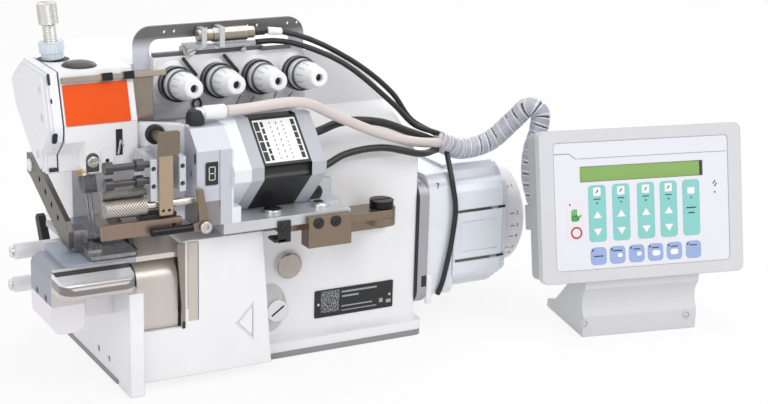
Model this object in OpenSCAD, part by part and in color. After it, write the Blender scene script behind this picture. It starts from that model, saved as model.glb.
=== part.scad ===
// Overlock sewing machine with a metering feeder, a direct servo drive and a separate operator panel.
// Millimetres, +Z up, +X to the operator's right, operator at -Y, origin at the centre of the base's underside.

/* [Base and body] */
// Length of the base along the bed
base_l = 262; // [258:1:270]
// Depth of the base
base_d = 166; // [163:1:174]
// Height of the oil pan
pan_h = 5; // [4:0.5:7]
// Height of the column's top
body_h = 232; // [231:0.5:234]
// Radius of the column's round shoulder
shoulder_r = 81; // [60:1:81]
// Height of the lower housing's front face
front_h = 150; // [146:1:152]
// Thickness of the left end wall
wall_t = 11; // [9:0.5:11]
/* [Bed] */
// Thickness of the needle plate and the cloth plate
plate_t = 4; // [3:0.25:4.5]
// Reach of the bed beyond the left end wall
bed_reach = 42; // [40:0.5:44]
// Depth of the bent guard in front of the bed
guard_d = 26; // [20:1:28]
/* [Head] */
// Height of the head's top
head_top = 240; // [239:0.5:242]
// Angle of the needle bar from the vertical
needle_tilt = 18; // [17:0.5:19]
// Radius of the needle bar
needle_bar_r = 3.5; // [3:0.1:4]
// Travel of the needle bar
needle_stroke = 24; // [20:0.5:25]
// Radius of the presser pressure screw
pressure_r = 5; // [4:0.1:5.5]
/* [Tensions] */
// Distance between two tension knobs
knob_pitch = 34.2; // [33.8:0.1:34.6]
// Length of a tension knob's cap
cap_l = 23; // [21:0.5:26]
// Radius of a tension knob's collar
collar_r = 12; // [11:0.25:13]
// Thickness of the carrying handle's sheet
handle_t = 2.5; // [2:0.25:3]
/* [Feeder] */
// Radius of the swing pivot
pivot_r = 4; // [3.5:0.1:4.5]
// Side of the square stepper motor
stepper_side = 57; // [54:0.5:57]
// Length of the stepper motor
stepper_l = 61; // [56:0.5:61]
// Radius of the feed roller
roller_r = 6.3; // [5.6:0.1:6.6]
// Length of the feed roller
roller_l = 31; // [26:1:32]
/* [Servo drive] */
// Half the depth of the square servo housing
servo_r = 56; // [54:0.5:57]
// Radius of the handwheel
wheel_r = 44; // [42:0.5:47]
// Width of the handwheel
wheel_w = 26; // [24:0.5:28]
// Radius of the main shaft
shaft_r = 8; // [6:0.25:9]
/* [Operator panel] */
// Width of the operator panel
panel_w = 180; // [172:1:188]
// Height of the operator panel
panel_h = 124; // [118:1:128]
// Thickness of the operator panel
panel_t = 34; // [30:1:38]
// Backward tilt of the operator panel
panel_tilt = 13; // [11:0.5:15]
/* [Fits] */
// Radial clearance of running shafts
run_fit = 0.05; // [0.03:0.01:0.08]
// Gap between parts that pass each other
pass_gap = 0.4; // [0.3:0.05:0.5]

/* [Hidden] */
$fn = 48;
EPS = 0.01;
XL = -base_l / 2;
XR = base_l / 2;
YF = -base_d / 2;
YB = base_d / 2;
FRONT_Y = YF + 16;
BED_Z = 105;
UNDER_Z = BED_Z - plate_t;
// Places left of the middle are measured from the left wall's outer face and the body's front face
BACK_S = YB - FRONT_Y;
FULL_S = XR - XL;
FLANGE_Z = pan_h + 8;
COVER_S = -33;
THROAT_S = 81;
COLUMN_S = 55;
FACE_S = 41.5;
SHELF_Z = body_h - 46;
HEAD_L = -35;
HEAD_R = 20;
FOLD_Z = 202;
FOLD_S = 1 - 0.3 * (head_top - FOLD_Z);
ARM_Z = 163;
NEEDLE_S = [-9, 5, BED_Z];
SCREW_S = [-24.5, 44, head_top];
WINDOW_S = [-14, 16.5];
LEAN = atan(0.3);
SCREW_LEAN = 5.5;
HANDLE_F = FACE_S - handle_t;
TENSION_S = [65, HANDLE_F - 8, body_h - 15];
TENSION_LEAN = 6;
POST_R = 3;
DISC_L = 9;
COLLAR_L = 8;
PIVOT_S = [213, -30];
ARM_LOW = 112.3;
ARM_HIGH = 119;
DECK_Z = 127;
MOTOR_S = [93, -15, 163];
FLANGE_T = 13;
HOUSING_L = 51;
ROLLER_S = [-18, -42, 147];
ROLLER_SHAFT_R = 3;
NIP_R = 4.2;
NIP_AXLE_R = 2.5;
NIP_D = roller_r + NIP_R + pass_gap;
NIP_S = [ROLLER_S[0], ROLLER_S[1] + 0.55 * NIP_D, ROLLER_S[2] + 0.835 * NIP_D];
ROD_ZS = [166, 178];
LEVER_S = [55, -50.5, 129];
LEVER_STUD_R = 2.5;
SERVO_S = [55, 74];
SERVO_L = 77;
SHAFT_IN = 60;
PRESSER_S = [84, 150];
REAR_LEVER_S = [91, 78];
COVER_HINGE_S = [-25, 11];
LOWER_LOOPER_S = [24, 40];
UPPER_LOOPER_S = [62, 52];
KNIFE_S = [30, 118];
PANEL_AT = [XR + 166.8, FRONT_Y - 87.6, 0];
PANEL_TURN = -11.5;
PANEL_FOOT_Z = 49;
STAND_W = 102;
STAND_D = 76;

// Places and plain shapes

module at_left() {
    translate([XL, FRONT_Y, 0]) children();
}

module at_right() {
    translate([XR, FRONT_Y, 0]) children();
}

module box(x0, x1, y0, y1, z0, z1) {
    translate([x0, y0, z0]) cube([x1 - x0, y1 - y0, z1 - z0]);
}

module rod_x(x0, x1, y, z, r) {
    translate([x0, y, z]) rotate([0, 90, 0]) cylinder(h = x1 - x0, r = r);
}

module rod_y(x, y0, y1, z, r) {
    translate([x, y1, z]) rotate([90, 0, 0]) cylinder(h = y1 - y0, r = r);
}

module rod_z(x, y, z0, z1, r) {
    translate([x, y, z0]) cylinder(h = z1 - z0, r = r);
}

// A rectangle with round corners
module round_rect(x0, x1, y0, y1, r) {
    translate([x0 + r, y0]) square([x1 - x0 - 2 * r, y1 - y0]);
    translate([x0, y0 + r]) square([x1 - x0, y1 - y0 - 2 * r]);
    for (x = [x0 + r, x1 - r], y = [y0 + r, y1 - r]) translate([x, y]) circle(r);
}

module slab_z(x0, x1, y0, y1, z0, z1, r) {
    translate([0, 0, z0]) linear_extrude(z1 - z0) round_rect(x0, x1, y0, y1, r);
}

// A flat outline in X and Z, given thickness along Y
module along_y(y0, y1) {
    translate([0, y1, 0]) rotate([90, 0, 0]) linear_extrude(y1 - y0) children();
}

// A flat outline in Y and Z, given thickness along X
module along_x(x0, x1) {
    translate([x0, 0, 0]) rotate([90, 0, 90]) linear_extrude(x1 - x0) children();
}

// The head's leaning front face, with its outside towards -Y
module on_head_face() {
    translate([0, FOLD_S, FOLD_Z]) rotate([-LEAN, 0, 0]) children();
}

// The needle bar's line, with +Z up along the bar and the origin on the bed
module on_needle_line() {
    translate(NEEDLE_S) rotate([-needle_tilt, 0, 0]) children();
}

// The presser pressure screw's axis, with the origin on the head's top
module on_screw() {
    translate(SCREW_S) rotate([0, -SCREW_LEAN, 0]) children();
}

// The axis of tension knob i, with +Z pointing away from the panel
module on_tension(i) {
    translate([TENSION_S[0] + i * knob_pitch, TENSION_S[1], TENSION_S[2]])
        rotate([90 - TENSION_LEAN, 0, 0])
            children();
}

// The panel's own frame: its bottom front edge's middle, with the front towards -Y
module on_panel() {
    translate(PANEL_AT) rotate([0, 0, PANEL_TURN]) children();
}

module on_panel_face() {
    on_panel() translate([0, -4, PANEL_FOOT_Z]) rotate([-panel_tilt, 0, 0]) children();
}

// A soft tube through a route's points
function span(p, i) = norm(p[i + 1] - p[i]);

function heading(p, i) =
    let (n = len(p) - 1)
    i == 0 ? (p[1] - p[0]) / span(p, 0)
    : i == n ? (p[n] - p[n - 1]) / span(p, n - 1)
    : let (a = span(p, i - 1), b = span(p, i))
        ((p[i + 1] - p[i]) * a / b + (p[i] - p[i - 1]) * b / a) / (a + b);

function spline(p, i, t) =
    let (d = span(p, i), u = t * t * (3 - 2 * t))
    (1 - u) * p[i] + u * p[i + 1] + t * (1 - t) * d * ((1 - t) * heading(p, i) - t * heading(p, i + 1));

function unit(v) = v / norm(v);

function route_points(p, steps) =
    concat([for (i = [0 : len(p) - 2], s = [0 : steps - 1]) spline(p, i, s / steps)], [p[len(p) - 1]]);

module soft_tube(route, r, sides = 8, steps = 2) {
    path = route_points(route, steps);
    n = len(path);
    side_hint = [0.31, -0.93, 0.2];
    points = [
        for (k = [0 : n - 1])
            let (
                t = unit(path[min(k + 1, n - 1)] - path[max(k - 1, 0)]),
                u = unit(cross(t, side_hint)),
                v = cross(t, u)
            )
            for (s = [0 : sides - 1]) path[k] + r * (cos(360 * s / sides) * u + sin(360 * s / sides) * v)
    ];
    walls = [
        for (k = [0 : n - 2], s = [0 : sides - 1])
            let (a = k * sides + s, b = k * sides + (s + 1) % sides)
            each [[a, b + sides, b], [a, a + sides, b + sides]]
    ];
    first = [for (s = [0 : sides - 1]) s];
    last = [for (s = [0 : sides - 1]) n * sides - 1 - s];
    polyhedron(points, concat(walls, [first, last]), convexity = 6);
}

function left_point(x, y, z) = [XL + x, FRONT_Y + y, z];

function right_point(x, y, z) = [XR + x, FRONT_Y + y, z];

// Base, castings and covers

module oil_pan() {
    color("dimgray")
        difference() {
            slab_z(XL, XR, YF, YB, 0, pan_h, 6);
            slab_z(XL + 10, XR - 10, YF + 10, YB - 10, 2, pan_h + 1, 4);
        }
}

// Front view of the column: square on the left, round shoulder on the right
module column_outline() {
    edge = XR - 2;
    left = XL + COLUMN_S;
    translate([left, pan_h]) square([XR - left, front_h - pan_h]);
    translate([left, pan_h]) square([edge - left, body_h - shoulder_r - pan_h]);
    translate([left, pan_h]) square([edge - shoulder_r - left, body_h - pan_h]);
    translate([edge - shoulder_r, body_h - shoulder_r]) circle(shoulder_r, $fn = 96);
}

// Side view of the column: upright front, slope, then the set-back face for the tensions
module column_section() {
    polygon([
        [0, pan_h], [BACK_S - 4, pan_h], [BACK_S - 4, body_h - 8], [BACK_S - 12, body_h],
        [FACE_S, body_h], [FACE_S, SHELF_Z], [0, front_h]
    ]);
}

// Side view of the arm under the head
module arm_outline() {
    polygon([
        [FOLD_S, FOLD_Z - EPS], [FOLD_S, 190], [6, 178], [5, 165], [11, ARM_Z], [32, 170], [58, 190],
        [58, FOLD_Z - EPS]
    ]);
}

module cover_lug(x0, x1, y0, y1) {
    rod_x(x0, x1, COVER_HINGE_S[0], COVER_HINGE_S[1], 4.5);
    box(x0, x1, y0, y1, COVER_HINGE_S[1] - 4, COVER_HINGE_S[1] + 2);
}

module body_solid() {
    slab_z(XL, XR, YF, YB, pan_h, FLANGE_Z, 6);
    intersection() {
        along_y(FRONT_Y, YB - 4) column_outline();
        translate([0, FRONT_Y, 0]) along_x(XL + COLUMN_S, XR) column_section();
    }
    at_left() {
        box(wall_t - 1, COLUMN_S + 1, 0, BACK_S - 4, FLANGE_Z - 1, UNDER_Z);
        box(0, wall_t, COVER_S - 9, BACK_S, pan_h, 81);
        box(0, wall_t, COVER_S - 9, -16.5, 0, pan_h + 1);
        box(0, wall_t, 22, BACK_S, 80, UNDER_Z);
        box(0, COLUMN_S + 1, THROAT_S, BACK_S - 4, UNDER_Z - 1, body_h);
        box(0, HEAD_R, 27, THROAT_S + 1, ARM_Z, FOLD_Z);
        box(HEAD_R - 1, COLUMN_S + 1, 27, THROAT_S + 1, min(ARM_Z, SHELF_Z - 23), SHELF_Z - 0.5);
        box(HEAD_R + pass_gap, COLUMN_S + 1, FACE_S, THROAT_S + 1, ARM_Z, body_h);
        along_x(HEAD_L, HEAD_R) arm_outline();
        along_y(FOLD_S, 8) round_rect(-20, HEAD_R, 166, 194, 3);
    }
}

module body_cuts() {
    at_left() {
        box(wall_t + 1, COLUMN_S, COVER_S - 20, 37, FLANGE_Z, UNDER_Z + 1);
        box(-1, wall_t + 2, COVER_S - 20, 21.9, 81, UNDER_Z + 1);
        box(COLUMN_S - 1, 115, COVER_S - 20, 37, FLANGE_Z, UNDER_Z - 5);
        box(COLUMN_S - 1, MOTOR_S[0] + stepper_l + 2.4, -1, 27, UNDER_Z, body_h + 1);
        on_needle_line() cylinder(h = 120, r = 7);
        rod_y(LOWER_LOOPER_S[0], 30, 58, LOWER_LOOPER_S[1], 5 + run_fit);
        rod_y(UPPER_LOOPER_S[0], 30, 58, UPPER_LOOPER_S[1], 5 + run_fit);
        rod_x(50, 76, KNIFE_S[0] + 10, KNIFE_S[1], 5 + run_fit);
        rod_x(-1, 21, REAR_LEVER_S[0], REAR_LEVER_S[1], 4 + run_fit);
        for (hole = [[15, 60], [2, 60], [27, 15], [4, 15], [113, 17]]) rod_x(-1, 5, hole[0], hole[1], 2.5);
    }
    at_right() rod_x(-SHAFT_IN, 1, SERVO_S[0], SERVO_S[1], shaft_r + run_fit);
}

module machine_body() {
    color("whitesmoke") {
        difference() {
            body_solid();
            body_cuts();
        }
        at_left() {
            rod_x(-33, 1, PRESSER_S[0], PRESSER_S[1], 5);
            for (x = [24, 94]) {
                cover_lug(x, x + 6, COVER_HINGE_S[0], -15);
                rod_x(x + 5, x + 12, COVER_HINGE_S[0], COVER_HINGE_S[1], 2.5);
            }
        }
    }
}

// Side view of the head's upper shell, from the fold up
module head_outline(inset = 0) {
    polygon([
        [1 + inset, head_top - inset], [55 - inset / 2, head_top - inset], [76 - inset, 227 - inset / 2],
        [79 - inset, 221], [71 - inset, FOLD_Z - (inset > 0 ? 1 : 0)],
        [FOLD_S + inset * 1.4, FOLD_Z - (inset > 0 ? 1 : 0)]
    ]);
}

module top_cover() {
    color("white")
        at_left()
            difference() {
                along_x(HEAD_L, HEAD_R) head_outline();
                along_x(HEAD_L + 4, HEAD_R - 4) head_outline(4);
                on_screw() rod_z(0, 0, -8, 1, pressure_r + run_fit);
                rod_z(WINDOW_S[0], WINDOW_S[1], head_top - 2, head_top + 1, 12.6);
                rod_z(WINDOW_S[0], WINDOW_S[1], head_top - 8, head_top, 10);
            }
}

// The removable cover that closes the head's left end
module end_cover_outline(inset = 0) {
    polygon([
        [1 + inset, head_top - inset], [55 - inset, head_top - inset], [76 - inset, 227 - inset],
        [79 - inset, 221], [70 - inset, 199 + inset], [32 - inset, 170 + inset], [11, ARM_Z + inset],
        [5 + inset, 165 + inset], [6 + inset, 178], [FOLD_S + 2 + inset, 191], [FOLD_S + inset, 197],
        [FOLD_S + inset, FOLD_Z]
    ]);
}

module end_cover() {
    seam = HEAD_L - 0.8;
    color("white")
        at_left()
            difference() {
                union() {
                    along_x(seam - 7, seam) end_cover_outline();
                    along_x(seam - 9, seam - 6) end_cover_outline(1.5);
                    along_x(seam - 11, seam - 8) end_cover_outline(4);
                    along_x(seam - 1, HEAD_L) end_cover_outline(2);
                }
                for (at = [[8, 226], [4, 207], [16, 177]]) rod_x(seam - 12, seam - 8.5, at[0], at[1], 3);
            }
}

module front_badge() {
    color("orangered")
        at_left()
            on_head_face() along_y(-0.8, 0) round_rect(-33.5, 15, 0.4, 29.8, 1);
}

module oil_window() {
    color("darkslategray")
        at_left() {
            rod_z(WINDOW_S[0], WINDOW_S[1], head_top - 2, head_top + 0.6, 12.6 - run_fit);
            rod_z(WINDOW_S[0], WINDOW_S[1], head_top - 6, head_top - 1.9, 10 - run_fit);
        }
}

module thread_guide_bar() {
    color("rosybrown")
        at_left() {
            on_head_face() {
                box(-34, 45, -3.2, -1, 31, 35.2);
                for (x = [-0.4, 16]) box(x - 4, x + 4, -4.6, 0, 30.4, 36);
                box(20.6, 37, -3, 4, 31, 35);
            }
            along_y(1.8, 3.4) round_rect(20.6, 37, 184, 236, 2);
            box(22, 36, 3, FACE_S, 206, 208);
        }
}

// Tension unit

module tension_panel() {
    slope = tan(TENSION_LEAN);
    low = SHELF_Z + 2;
    high = body_h + 5;
    front = TENSION_S[1];
    lip = (HANDLE_F - front - (low - TENSION_S[2]) * slope) / (1 + slope);
    color("gainsboro")
        at_left() {
            along_x(49, 174)
                polygon(concat(
                    [for (a = [0 : 15 : 90]) [HANDLE_F - lip * cos(a), low + lip * (1 - sin(a))]],
                    [[HANDLE_F, low], [HANDLE_F, high], [front + (high - TENSION_S[2]) * slope, high]]
                ));
            box(50, 140, 33.6, 38.8, high - 0.5, high + 3);
        }
}

module carrying_handle() {
    top = body_h + 28;
    color("lightgray")
        at_left()
            difference() {
                along_y(HANDLE_F, FACE_S) round_rect(36, 177, SHELF_Z + 4, top, 14);
                along_y(HANDLE_F - 1, FACE_S + 1) round_rect(48.5, 164.5, body_h + 1, top - 10, 7);
                for (i = [0 : 3], d = [-4, 4])
                    rod_y(TENSION_S[0] + i * knob_pitch + d, HANDLE_F - 1, FACE_S + 1, top - 5, 1.3);
            }
}

module tension_posts() {
    color("silver")
        at_left()
            for (i = [0 : 3])
                on_tension(i) {
                    cylinder(h = DISC_L, r = collar_r + 1.5);
                    cylinder(h = DISC_L + COLLAR_L + cap_l - 4, r = POST_R);
                }
}

module tension_knob(i) {
    low = DISC_L + pass_gap;
    mid = low + COLLAR_L;
    color("white")
        at_left()
            on_tension(i)
                difference() {
                    rotate_extrude()
                        polygon([
                            [POST_R + run_fit, low], [collar_r, low], [collar_r, mid - 1], [collar_r - 1.5, mid],
                            [collar_r - 1.5, mid + 6], [7.4, mid + cap_l - 1], [6.4, mid + cap_l],
                            [POST_R + run_fit, mid + cap_l]
                        ]);
                    for (a = [0 : 30 : 330])
                        rotate([0, 0, a])
                            translate([collar_r - 0.6, 0, mid + 7])
                                rotate([0, -5, 0])
                                    cylinder(h = cap_l, r = 1.1);
                }
}

module tension_knob_1() {
    tension_knob(0);
}

module tension_knob_2() {
    tension_knob(1);
}

module tension_knob_3() {
    tension_knob(2);
}

module tension_knob_4() {
    tension_knob(3);
}

// Barrel that watches a thread, on an angle bracket
module thread_sensor() {
    top = body_h + 5;
    color("tan")
        at_left() {
            box(72, 134, 34, 38, top + 3, top + 7);
            box(74, 90, 28, 38, top + 6, top + 9);
            box(86, 90, 26, 38, top + 8, top + 21);
            box(100, 104, 24.5, 37.5, top + 6, top + 21.5);
            box(100, 126, 24.5, 37.5, top + 6, top + 8.5);
            rod_x(84, 130, 31, top + 15, 4.5);
            rod_x(96, 124, 31, top + 15, 5.5);
        }
}

module name_plate() {
    color("black") at_left() along_y(-0.8, 0) round_rect(171, base_l - 20, 22, 45, 1);
}

module oil_sight_glass() {
    color("lightgray")
        at_left() {
            difference() {
                rod_y(147, -3, 0, 71, 11.2);
                rod_y(147, -4, -1.5, 71, 8);
            }
            rod_y(138, -2, 0, 34, 9);
        }
}

// Bed and what it carries

module needle_plate() {
    color("silver")
        at_left()
            difference() {
                box(-22, COLUMN_S - 0.4, -30, THROAT_S - 0.4, UNDER_Z, BED_Z);
                box(-11.5, -6.5, 0, 10, UNDER_Z - 1, BED_Z + 1);
                box(-4, 10, -14, 24, UNDER_Z - 1, BED_Z + 1);
                box(13, 18.5, -14, 27, UNDER_Z - 1, BED_Z + 1);
            }
}

module cloth_plate() {
    color("silver")
        at_left()
            difference() {
                slab_z(-bed_reach, -16, -30, 27, UNDER_Z, BED_Z, 5);
                box(-22.2, 0, -40, 40, UNDER_Z - 1, BED_Z + 1);
            }
}

module bed_block() {
    color("darkgray")
        at_left()
            difference() {
                union() {
                    along_y(-26, 22) round_rect(-53, -28, 52, UNDER_Z, 8);
                    box(-40, 0, -8, 22, 56, 80);
                    box(-44, -28, -26, 22, UNDER_Z - 10, UNDER_Z);
                }
                for (y = [-12, 8]) rod_x(-54, -46, y, 76, 3);
            }
}

module front_guard() {
    nose = -30.5 - guard_d;
    color("silver")
        at_left()
            intersection() {
                along_x(-54, 2) {
                    polygon([[-30.5, 104], [nose + 6, 98.5], [nose + 6, 86.5], [-31.5, 86.5]]);
                    translate([nose + 6, 92.5]) circle(6);
                    polygon([[-31.5, 86], [-26, 86], [-26, 100], [-31.5, 100]]);
                }
                slab_z(-54, 2, nose, -20, 80, 110, 11);
            }
}

module support_pins() {
    color("white")
        at_left()
            for (at = [[55, 92], [60, 64]]) {
                rod_x(-55, 0, at[0], at[1], 6);
                rod_x(-57, -54, at[0], at[1], 3.5);
            }
}

// Curved sheet that keeps trimmings out of the looper space
module chip_guard() {
    bend = 18;
    color("wheat")
        at_left()
            along_x(wall_t, 43) {
                translate([-28.5, 30]) square([1.5, 50]);
                translate([-28.5 + bend, 80])
                    intersection() {
                        difference() {
                            circle(bend);
                            circle(bend - 1.5);
                        }
                        translate([-bend, 0]) square([bend, bend]);
                    }
            }
}

module front_cover() {
    left = wall_t + 1.3;
    back = -pass_gap;
    color("white")
        at_left()
            difference() {
                union() {
                    along_y(COVER_S, COVER_S + 3)
                        polygon([[left, 6], [118, 6], [110, 113], [45, 113], [45, 46], [left, 46]]);
                    along_y(COVER_S, back) polygon([[114.4, 14], [117.4, 14], [110, 113], [107, 113]]);
                    along_y(COVER_S, back) polygon([[45, 110], [110, 110], [110, 113], [45, 113]]);
                    for (x = [30, 100]) cover_lug(x + pass_gap, x + 6, COVER_S + 1, COVER_HINGE_S[0]);
                }
                for (x = [30, 100]) rod_x(x - 1, x + 8, COVER_HINGE_S[0], COVER_HINGE_S[1], 2.5 + run_fit);
                box(47, 57, COVER_S - 1, COVER_S + 1, 60, 114);
            }
}

module feed_dog() {
    color("silver")
        at_left() {
            for (x = [-2, 4]) box(x, x + 4, -9, 20, 98, BED_Z - 0.2);
            box(-2, 8, 15, 20, 84, 100);
            box(-2, 44, 15, 20, 84, 91);
        }
}

module lower_looper() {
    color("silver")
        at_left() {
            rod_y(LOWER_LOOPER_S[0], 11, 57, LOWER_LOOPER_S[1], 5);
            rod_y(LOWER_LOOPER_S[0], 7, 12, LOWER_LOOPER_S[1], 9);
            box(LOWER_LOOPER_S[0] - 4, LOWER_LOOPER_S[0] + 4, 7, 12, LOWER_LOOPER_S[1], 93);
            along_y(8, 11) polygon([[24, 89], [0, 90], [-4, 92.5], [2, 92.5], [24, 93]]);
        }
}

module upper_looper() {
    color("silver")
        at_left() {
            rod_y(UPPER_LOOPER_S[0], -3, 57, UPPER_LOOPER_S[1], 5);
            rod_y(UPPER_LOOPER_S[0], -7, -2, UPPER_LOOPER_S[1], 9);
            along_y(-7, -3) polygon([[58, 48], [26, 84], [16, 91.5], [26, 90], [66, 56]]);
        }
}

module upper_knife() {
    color("dimgray")
        at_left() {
            rod_x(14, 75, KNIFE_S[0] + 10, KNIFE_S[1], 5);
            along_x(14, 17)
                polygon([[-6, 101.5], [8, 101.5], [46, 112], [46, 124], [34, 124], [6, 112], [-6, 110]]);
        }
}

module needle_bush() {
    color("goldenrod")
        at_left()
            on_needle_line()
                translate([0, 0, 55])
                    difference() {
                        cylinder(h = 34, r = 7);
                        translate([0, 0, -1]) cylinder(h = 36, r = needle_bar_r + run_fit);
                    }
}

module needle_bar() {
    color("silver") at_left() on_needle_line() rod_z(0, 0, 41.5, 112, needle_bar_r);
}

module needle_clamp() {
    color("dimgray")
        at_left()
            on_needle_line() {
                difference() {
                    box(-5, 5, -7, 5, 40, 53);
                    rod_z(0, 0, 41.5, 54, needle_bar_r);
                }
                for (x = [-1.6, 1.6]) {
                    rod_z(x, 0, 18, 41, 0.8);
                    translate([x, 0, 12]) cylinder(h = 6.1, r1 = 0.2, r2 = 0.8);
                }
            }
}

module presser_arm() {
    color("gray")
        at_left()
            difference() {
                along_x(-32, -28)
                    polygon([
                        [92, 158], [76, 160], [2, 128], [-4, 121], [-4, 109], [12, 109], [84, 141], [92, 143]
                    ]);
                rod_x(-33, -27, PRESSER_S[0], PRESSER_S[1], 5 + run_fit);
                for (y = [20, 34, 48, 62]) rod_x(-33, -27, y, 126 + (y - 20) * 0.44, 2.2);
            }
}

module presser_foot() {
    sole = BED_Z + 0.4;
    color("darkgray")
        at_left()
            difference() {
                union() {
                    slab_z(-24, 12.6, -28, 22, sole, sole + 3, 3);
                    box(-28, -17, -4, 12, sole, 122);
                    box(-4, 12, 2, 20, sole + 2, sole + 6);
                    box(-24, -14, -24, -4, sole + 2, sole + 7);
                }
                box(-15, -4, -3, 15, sole - 1, sole + 8);
            }
}

module pressure_screw() {
    color("silver")
        at_left() {
            on_screw() {
                rod_z(0, 0, -12, 29, pressure_r);
                rod_z(0, 0, 27, 42, 7.3);
            }
        }
}

module lock_nut() {
    base = 0.9;
    color("lightsteelblue")
        at_left()
            on_screw()
                difference() {
                    union() {
                        rod_z(0, 0, base, base + 6, 8.3);
                        rod_z(0, 0, base + 5, base + 12.5, 9.3);
                    }
                    rod_z(0, 0, base - 1, base + 15, pressure_r + run_fit);
                }
}

module rear_lever() {
    color("black")
        at_left() {
            rod_x(-19, 20, REAR_LEVER_S[0], REAR_LEVER_S[1], 4);
            along_x(-22, -16) {
                translate(REAR_LEVER_S) circle(6);
                polygon([[86, 81], [96, 76], [108, 100], [104, 104], [100, 103]]);
            }
        }
}

// Metering feeder that swings out to the front

module swing_bracket() {
    x = PIVOT_S[0];
    y = PIVOT_S[1];
    color("tan")
        at_left() {
            along_y(-4, 0) round_rect(x - 15, x + 22, 92, 111.6, 3);
            rod_z(x, y, 105.5, 112, 11);
            box(x - 11, x + 11, y, -3, 105.5, 112);
            rod_z(x, y, 103, ARM_HIGH + 1, pivot_r);
            difference() {
                rod_z(x, y, ARM_HIGH + pass_gap, ARM_HIGH + 6, 9.5);
                box(x - 10, x + 10, y - 1, y + 1, ARM_HIGH + 4, ARM_HIGH + 7);
            }
        }
}

module swing_arm() {
    x = PIVOT_S[0];
    y = PIVOT_S[1];
    color("tan")
        at_left() {
            difference() {
                union() {
                    rod_z(x, y, ARM_LOW, ARM_HIGH, 11);
                    box(120, x, y - 11, y + 11, ARM_LOW, ARM_HIGH);
                }
                rod_z(x, y, ARM_LOW - 1, ARM_HIGH + 1, pivot_r + run_fit);
            }
            box(139, 175, -53, -40, 101, ARM_HIGH);
            box(139, 175, -53, -47, 101, 125);
        }
}

module feeder_deck() {
    color("lightgray")
        at_left() {
            box(72, 177, -47, -9, ARM_HIGH, DECK_Z);
            box(155, 178, -30, -9, DECK_Z - 1, DECK_Z + 2);
            box(155, 178, -12, -9, DECK_Z, 142);
            rod_y(160, -18, -0.4, 134, 3.5);
            rod_y(160, -20, -12, 134, 6);
            for (x = [118, 158]) rod_z(x, -33, DECK_Z, DECK_Z + 3, 6);
        }
}

module stepper_outline() {
    reach = 35.5;
    intersection() {
        rotate(45) square(stepper_side, center = true);
        square(2 * reach, center = true);
    }
}

// Angled plate at the housing's left end
module feeder_wing() {
    translate([50, -23, DECK_Z]) rotate([0, 0, 149.6]) box(-6, 33, -6, 0, 0, 72);
}

module feeder_housing() {
    color("lightsteelblue")
        at_left()
            difference() {
                union() {
                    along_x(HOUSING_L, MOTOR_S[0] - FLANGE_T)
                        polygon([[-47, DECK_Z], [-5, DECK_Z], [-5, 198], [-33, 198], [-47, 184]]);
                    feeder_wing();
                    box(70, 86, -47, -30, DECK_Z, 139);
                    translate([0, MOTOR_S[1], MOTOR_S[2]])
                        along_x(MOTOR_S[0] - FLANGE_T - 1, MOTOR_S[0])
                            stepper_outline();
                    rod_z(60, -22, 197, 206, 6);
                    rod_x(60, 84, -22, 206, 4.5);
                    rod_y(LEVER_S[0], LEVER_S[1] - 2, -46, LEVER_S[2], LEVER_STUD_R);
                }
                box(57, 66, -48, -46.4, 157, 174);
                rod_x(HOUSING_L - 1, HOUSING_L + 12, ROLLER_S[1], ROLLER_S[2], ROLLER_SHAFT_R + run_fit);
            }
}

module stepper_motor() {
    color("black")
        at_left()
            translate([0, MOTOR_S[1], MOTOR_S[2]])
                difference() {
                    along_x(MOTOR_S[0], MOTOR_S[0] + stepper_l) stepper_outline();
                    for (a = [0 : 90 : 270])
                        rotate([a, 0, 0])
                            rod_x(MOTOR_S[0] + 10, MOTOR_S[0] + stepper_l - 12, 0, 37.5, 6);
                }
}

// Two slotted blocks on the wing, with the tape guide rods and their collars
module feeder_blocks() {
    color("lightgray")
        at_left()
            difference() {
                union() {
                    box(15.4, 20.4, -47, -13, 151, 182);
                    box(15.4, 27, -22, -13, 151, 182);
                    box(22.5, 27, -14, -5, 151, 182);
                    box(37.5, 42.5, -47, -8, 156, 182);
                    for (z = ROD_ZS) {
                        rod_x(ROLLER_S[0], 16.4, -43, z, 2.5);
                        for (x = [ROLLER_S[0], 5]) rod_x(x, x + 6, -43, z, 4.5);
                    }
                }
                feeder_wing();
                rod_x(14, 18.6, NIP_S[1], NIP_S[2], NIP_AXLE_R + run_fit);
                for (x = [17.9, 40], z = [162, 175]) rod_y(x, -48, -30, z, 1.8);
                translate([50, -23, DECK_Z]) rotate([0, 0, 149.6]) box(-6, 60, -30, -5.9, 0, 72);
            }
}

module spring_plate() {
    color("tan")
        at_left()
            difference() {
                union() {
                    along_y(-48.6, -47.1) round_rect(21.4, 32, 140, 190, 1.5);
                    along_y(-48.6, -47.1) round_rect(20.8, 37.4, 184, 202, 2);
                    rod_y(31, -47.2, -2, 192, 4);
                }
                feeder_wing();
                for (x = [24.4, 29]) rod_y(x, -50, -46, 143.5, 1.2);
                translate([50, -23, DECK_Z]) rotate([0, 0, 149.6]) box(-6, 60, -30, -5.9, 0, 80);
            }
}

module feed_roller() {
    color("silver")
        at_left() {
            rod_x(ROLLER_S[0], ROLLER_S[0] + roller_l, ROLLER_S[1], ROLLER_S[2], roller_r);
            rod_x(ROLLER_S[0], HOUSING_L + 11, ROLLER_S[1], ROLLER_S[2], ROLLER_SHAFT_R);
        }
}

module nip_roller() {
    color("dimgray")
        at_left() {
            rod_x(ROLLER_S[0], 13, NIP_S[1], NIP_S[2], NIP_R);
            rod_x(ROLLER_S[0], 17.6, NIP_S[1], NIP_S[2], NIP_AXLE_R);
        }
}

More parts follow.
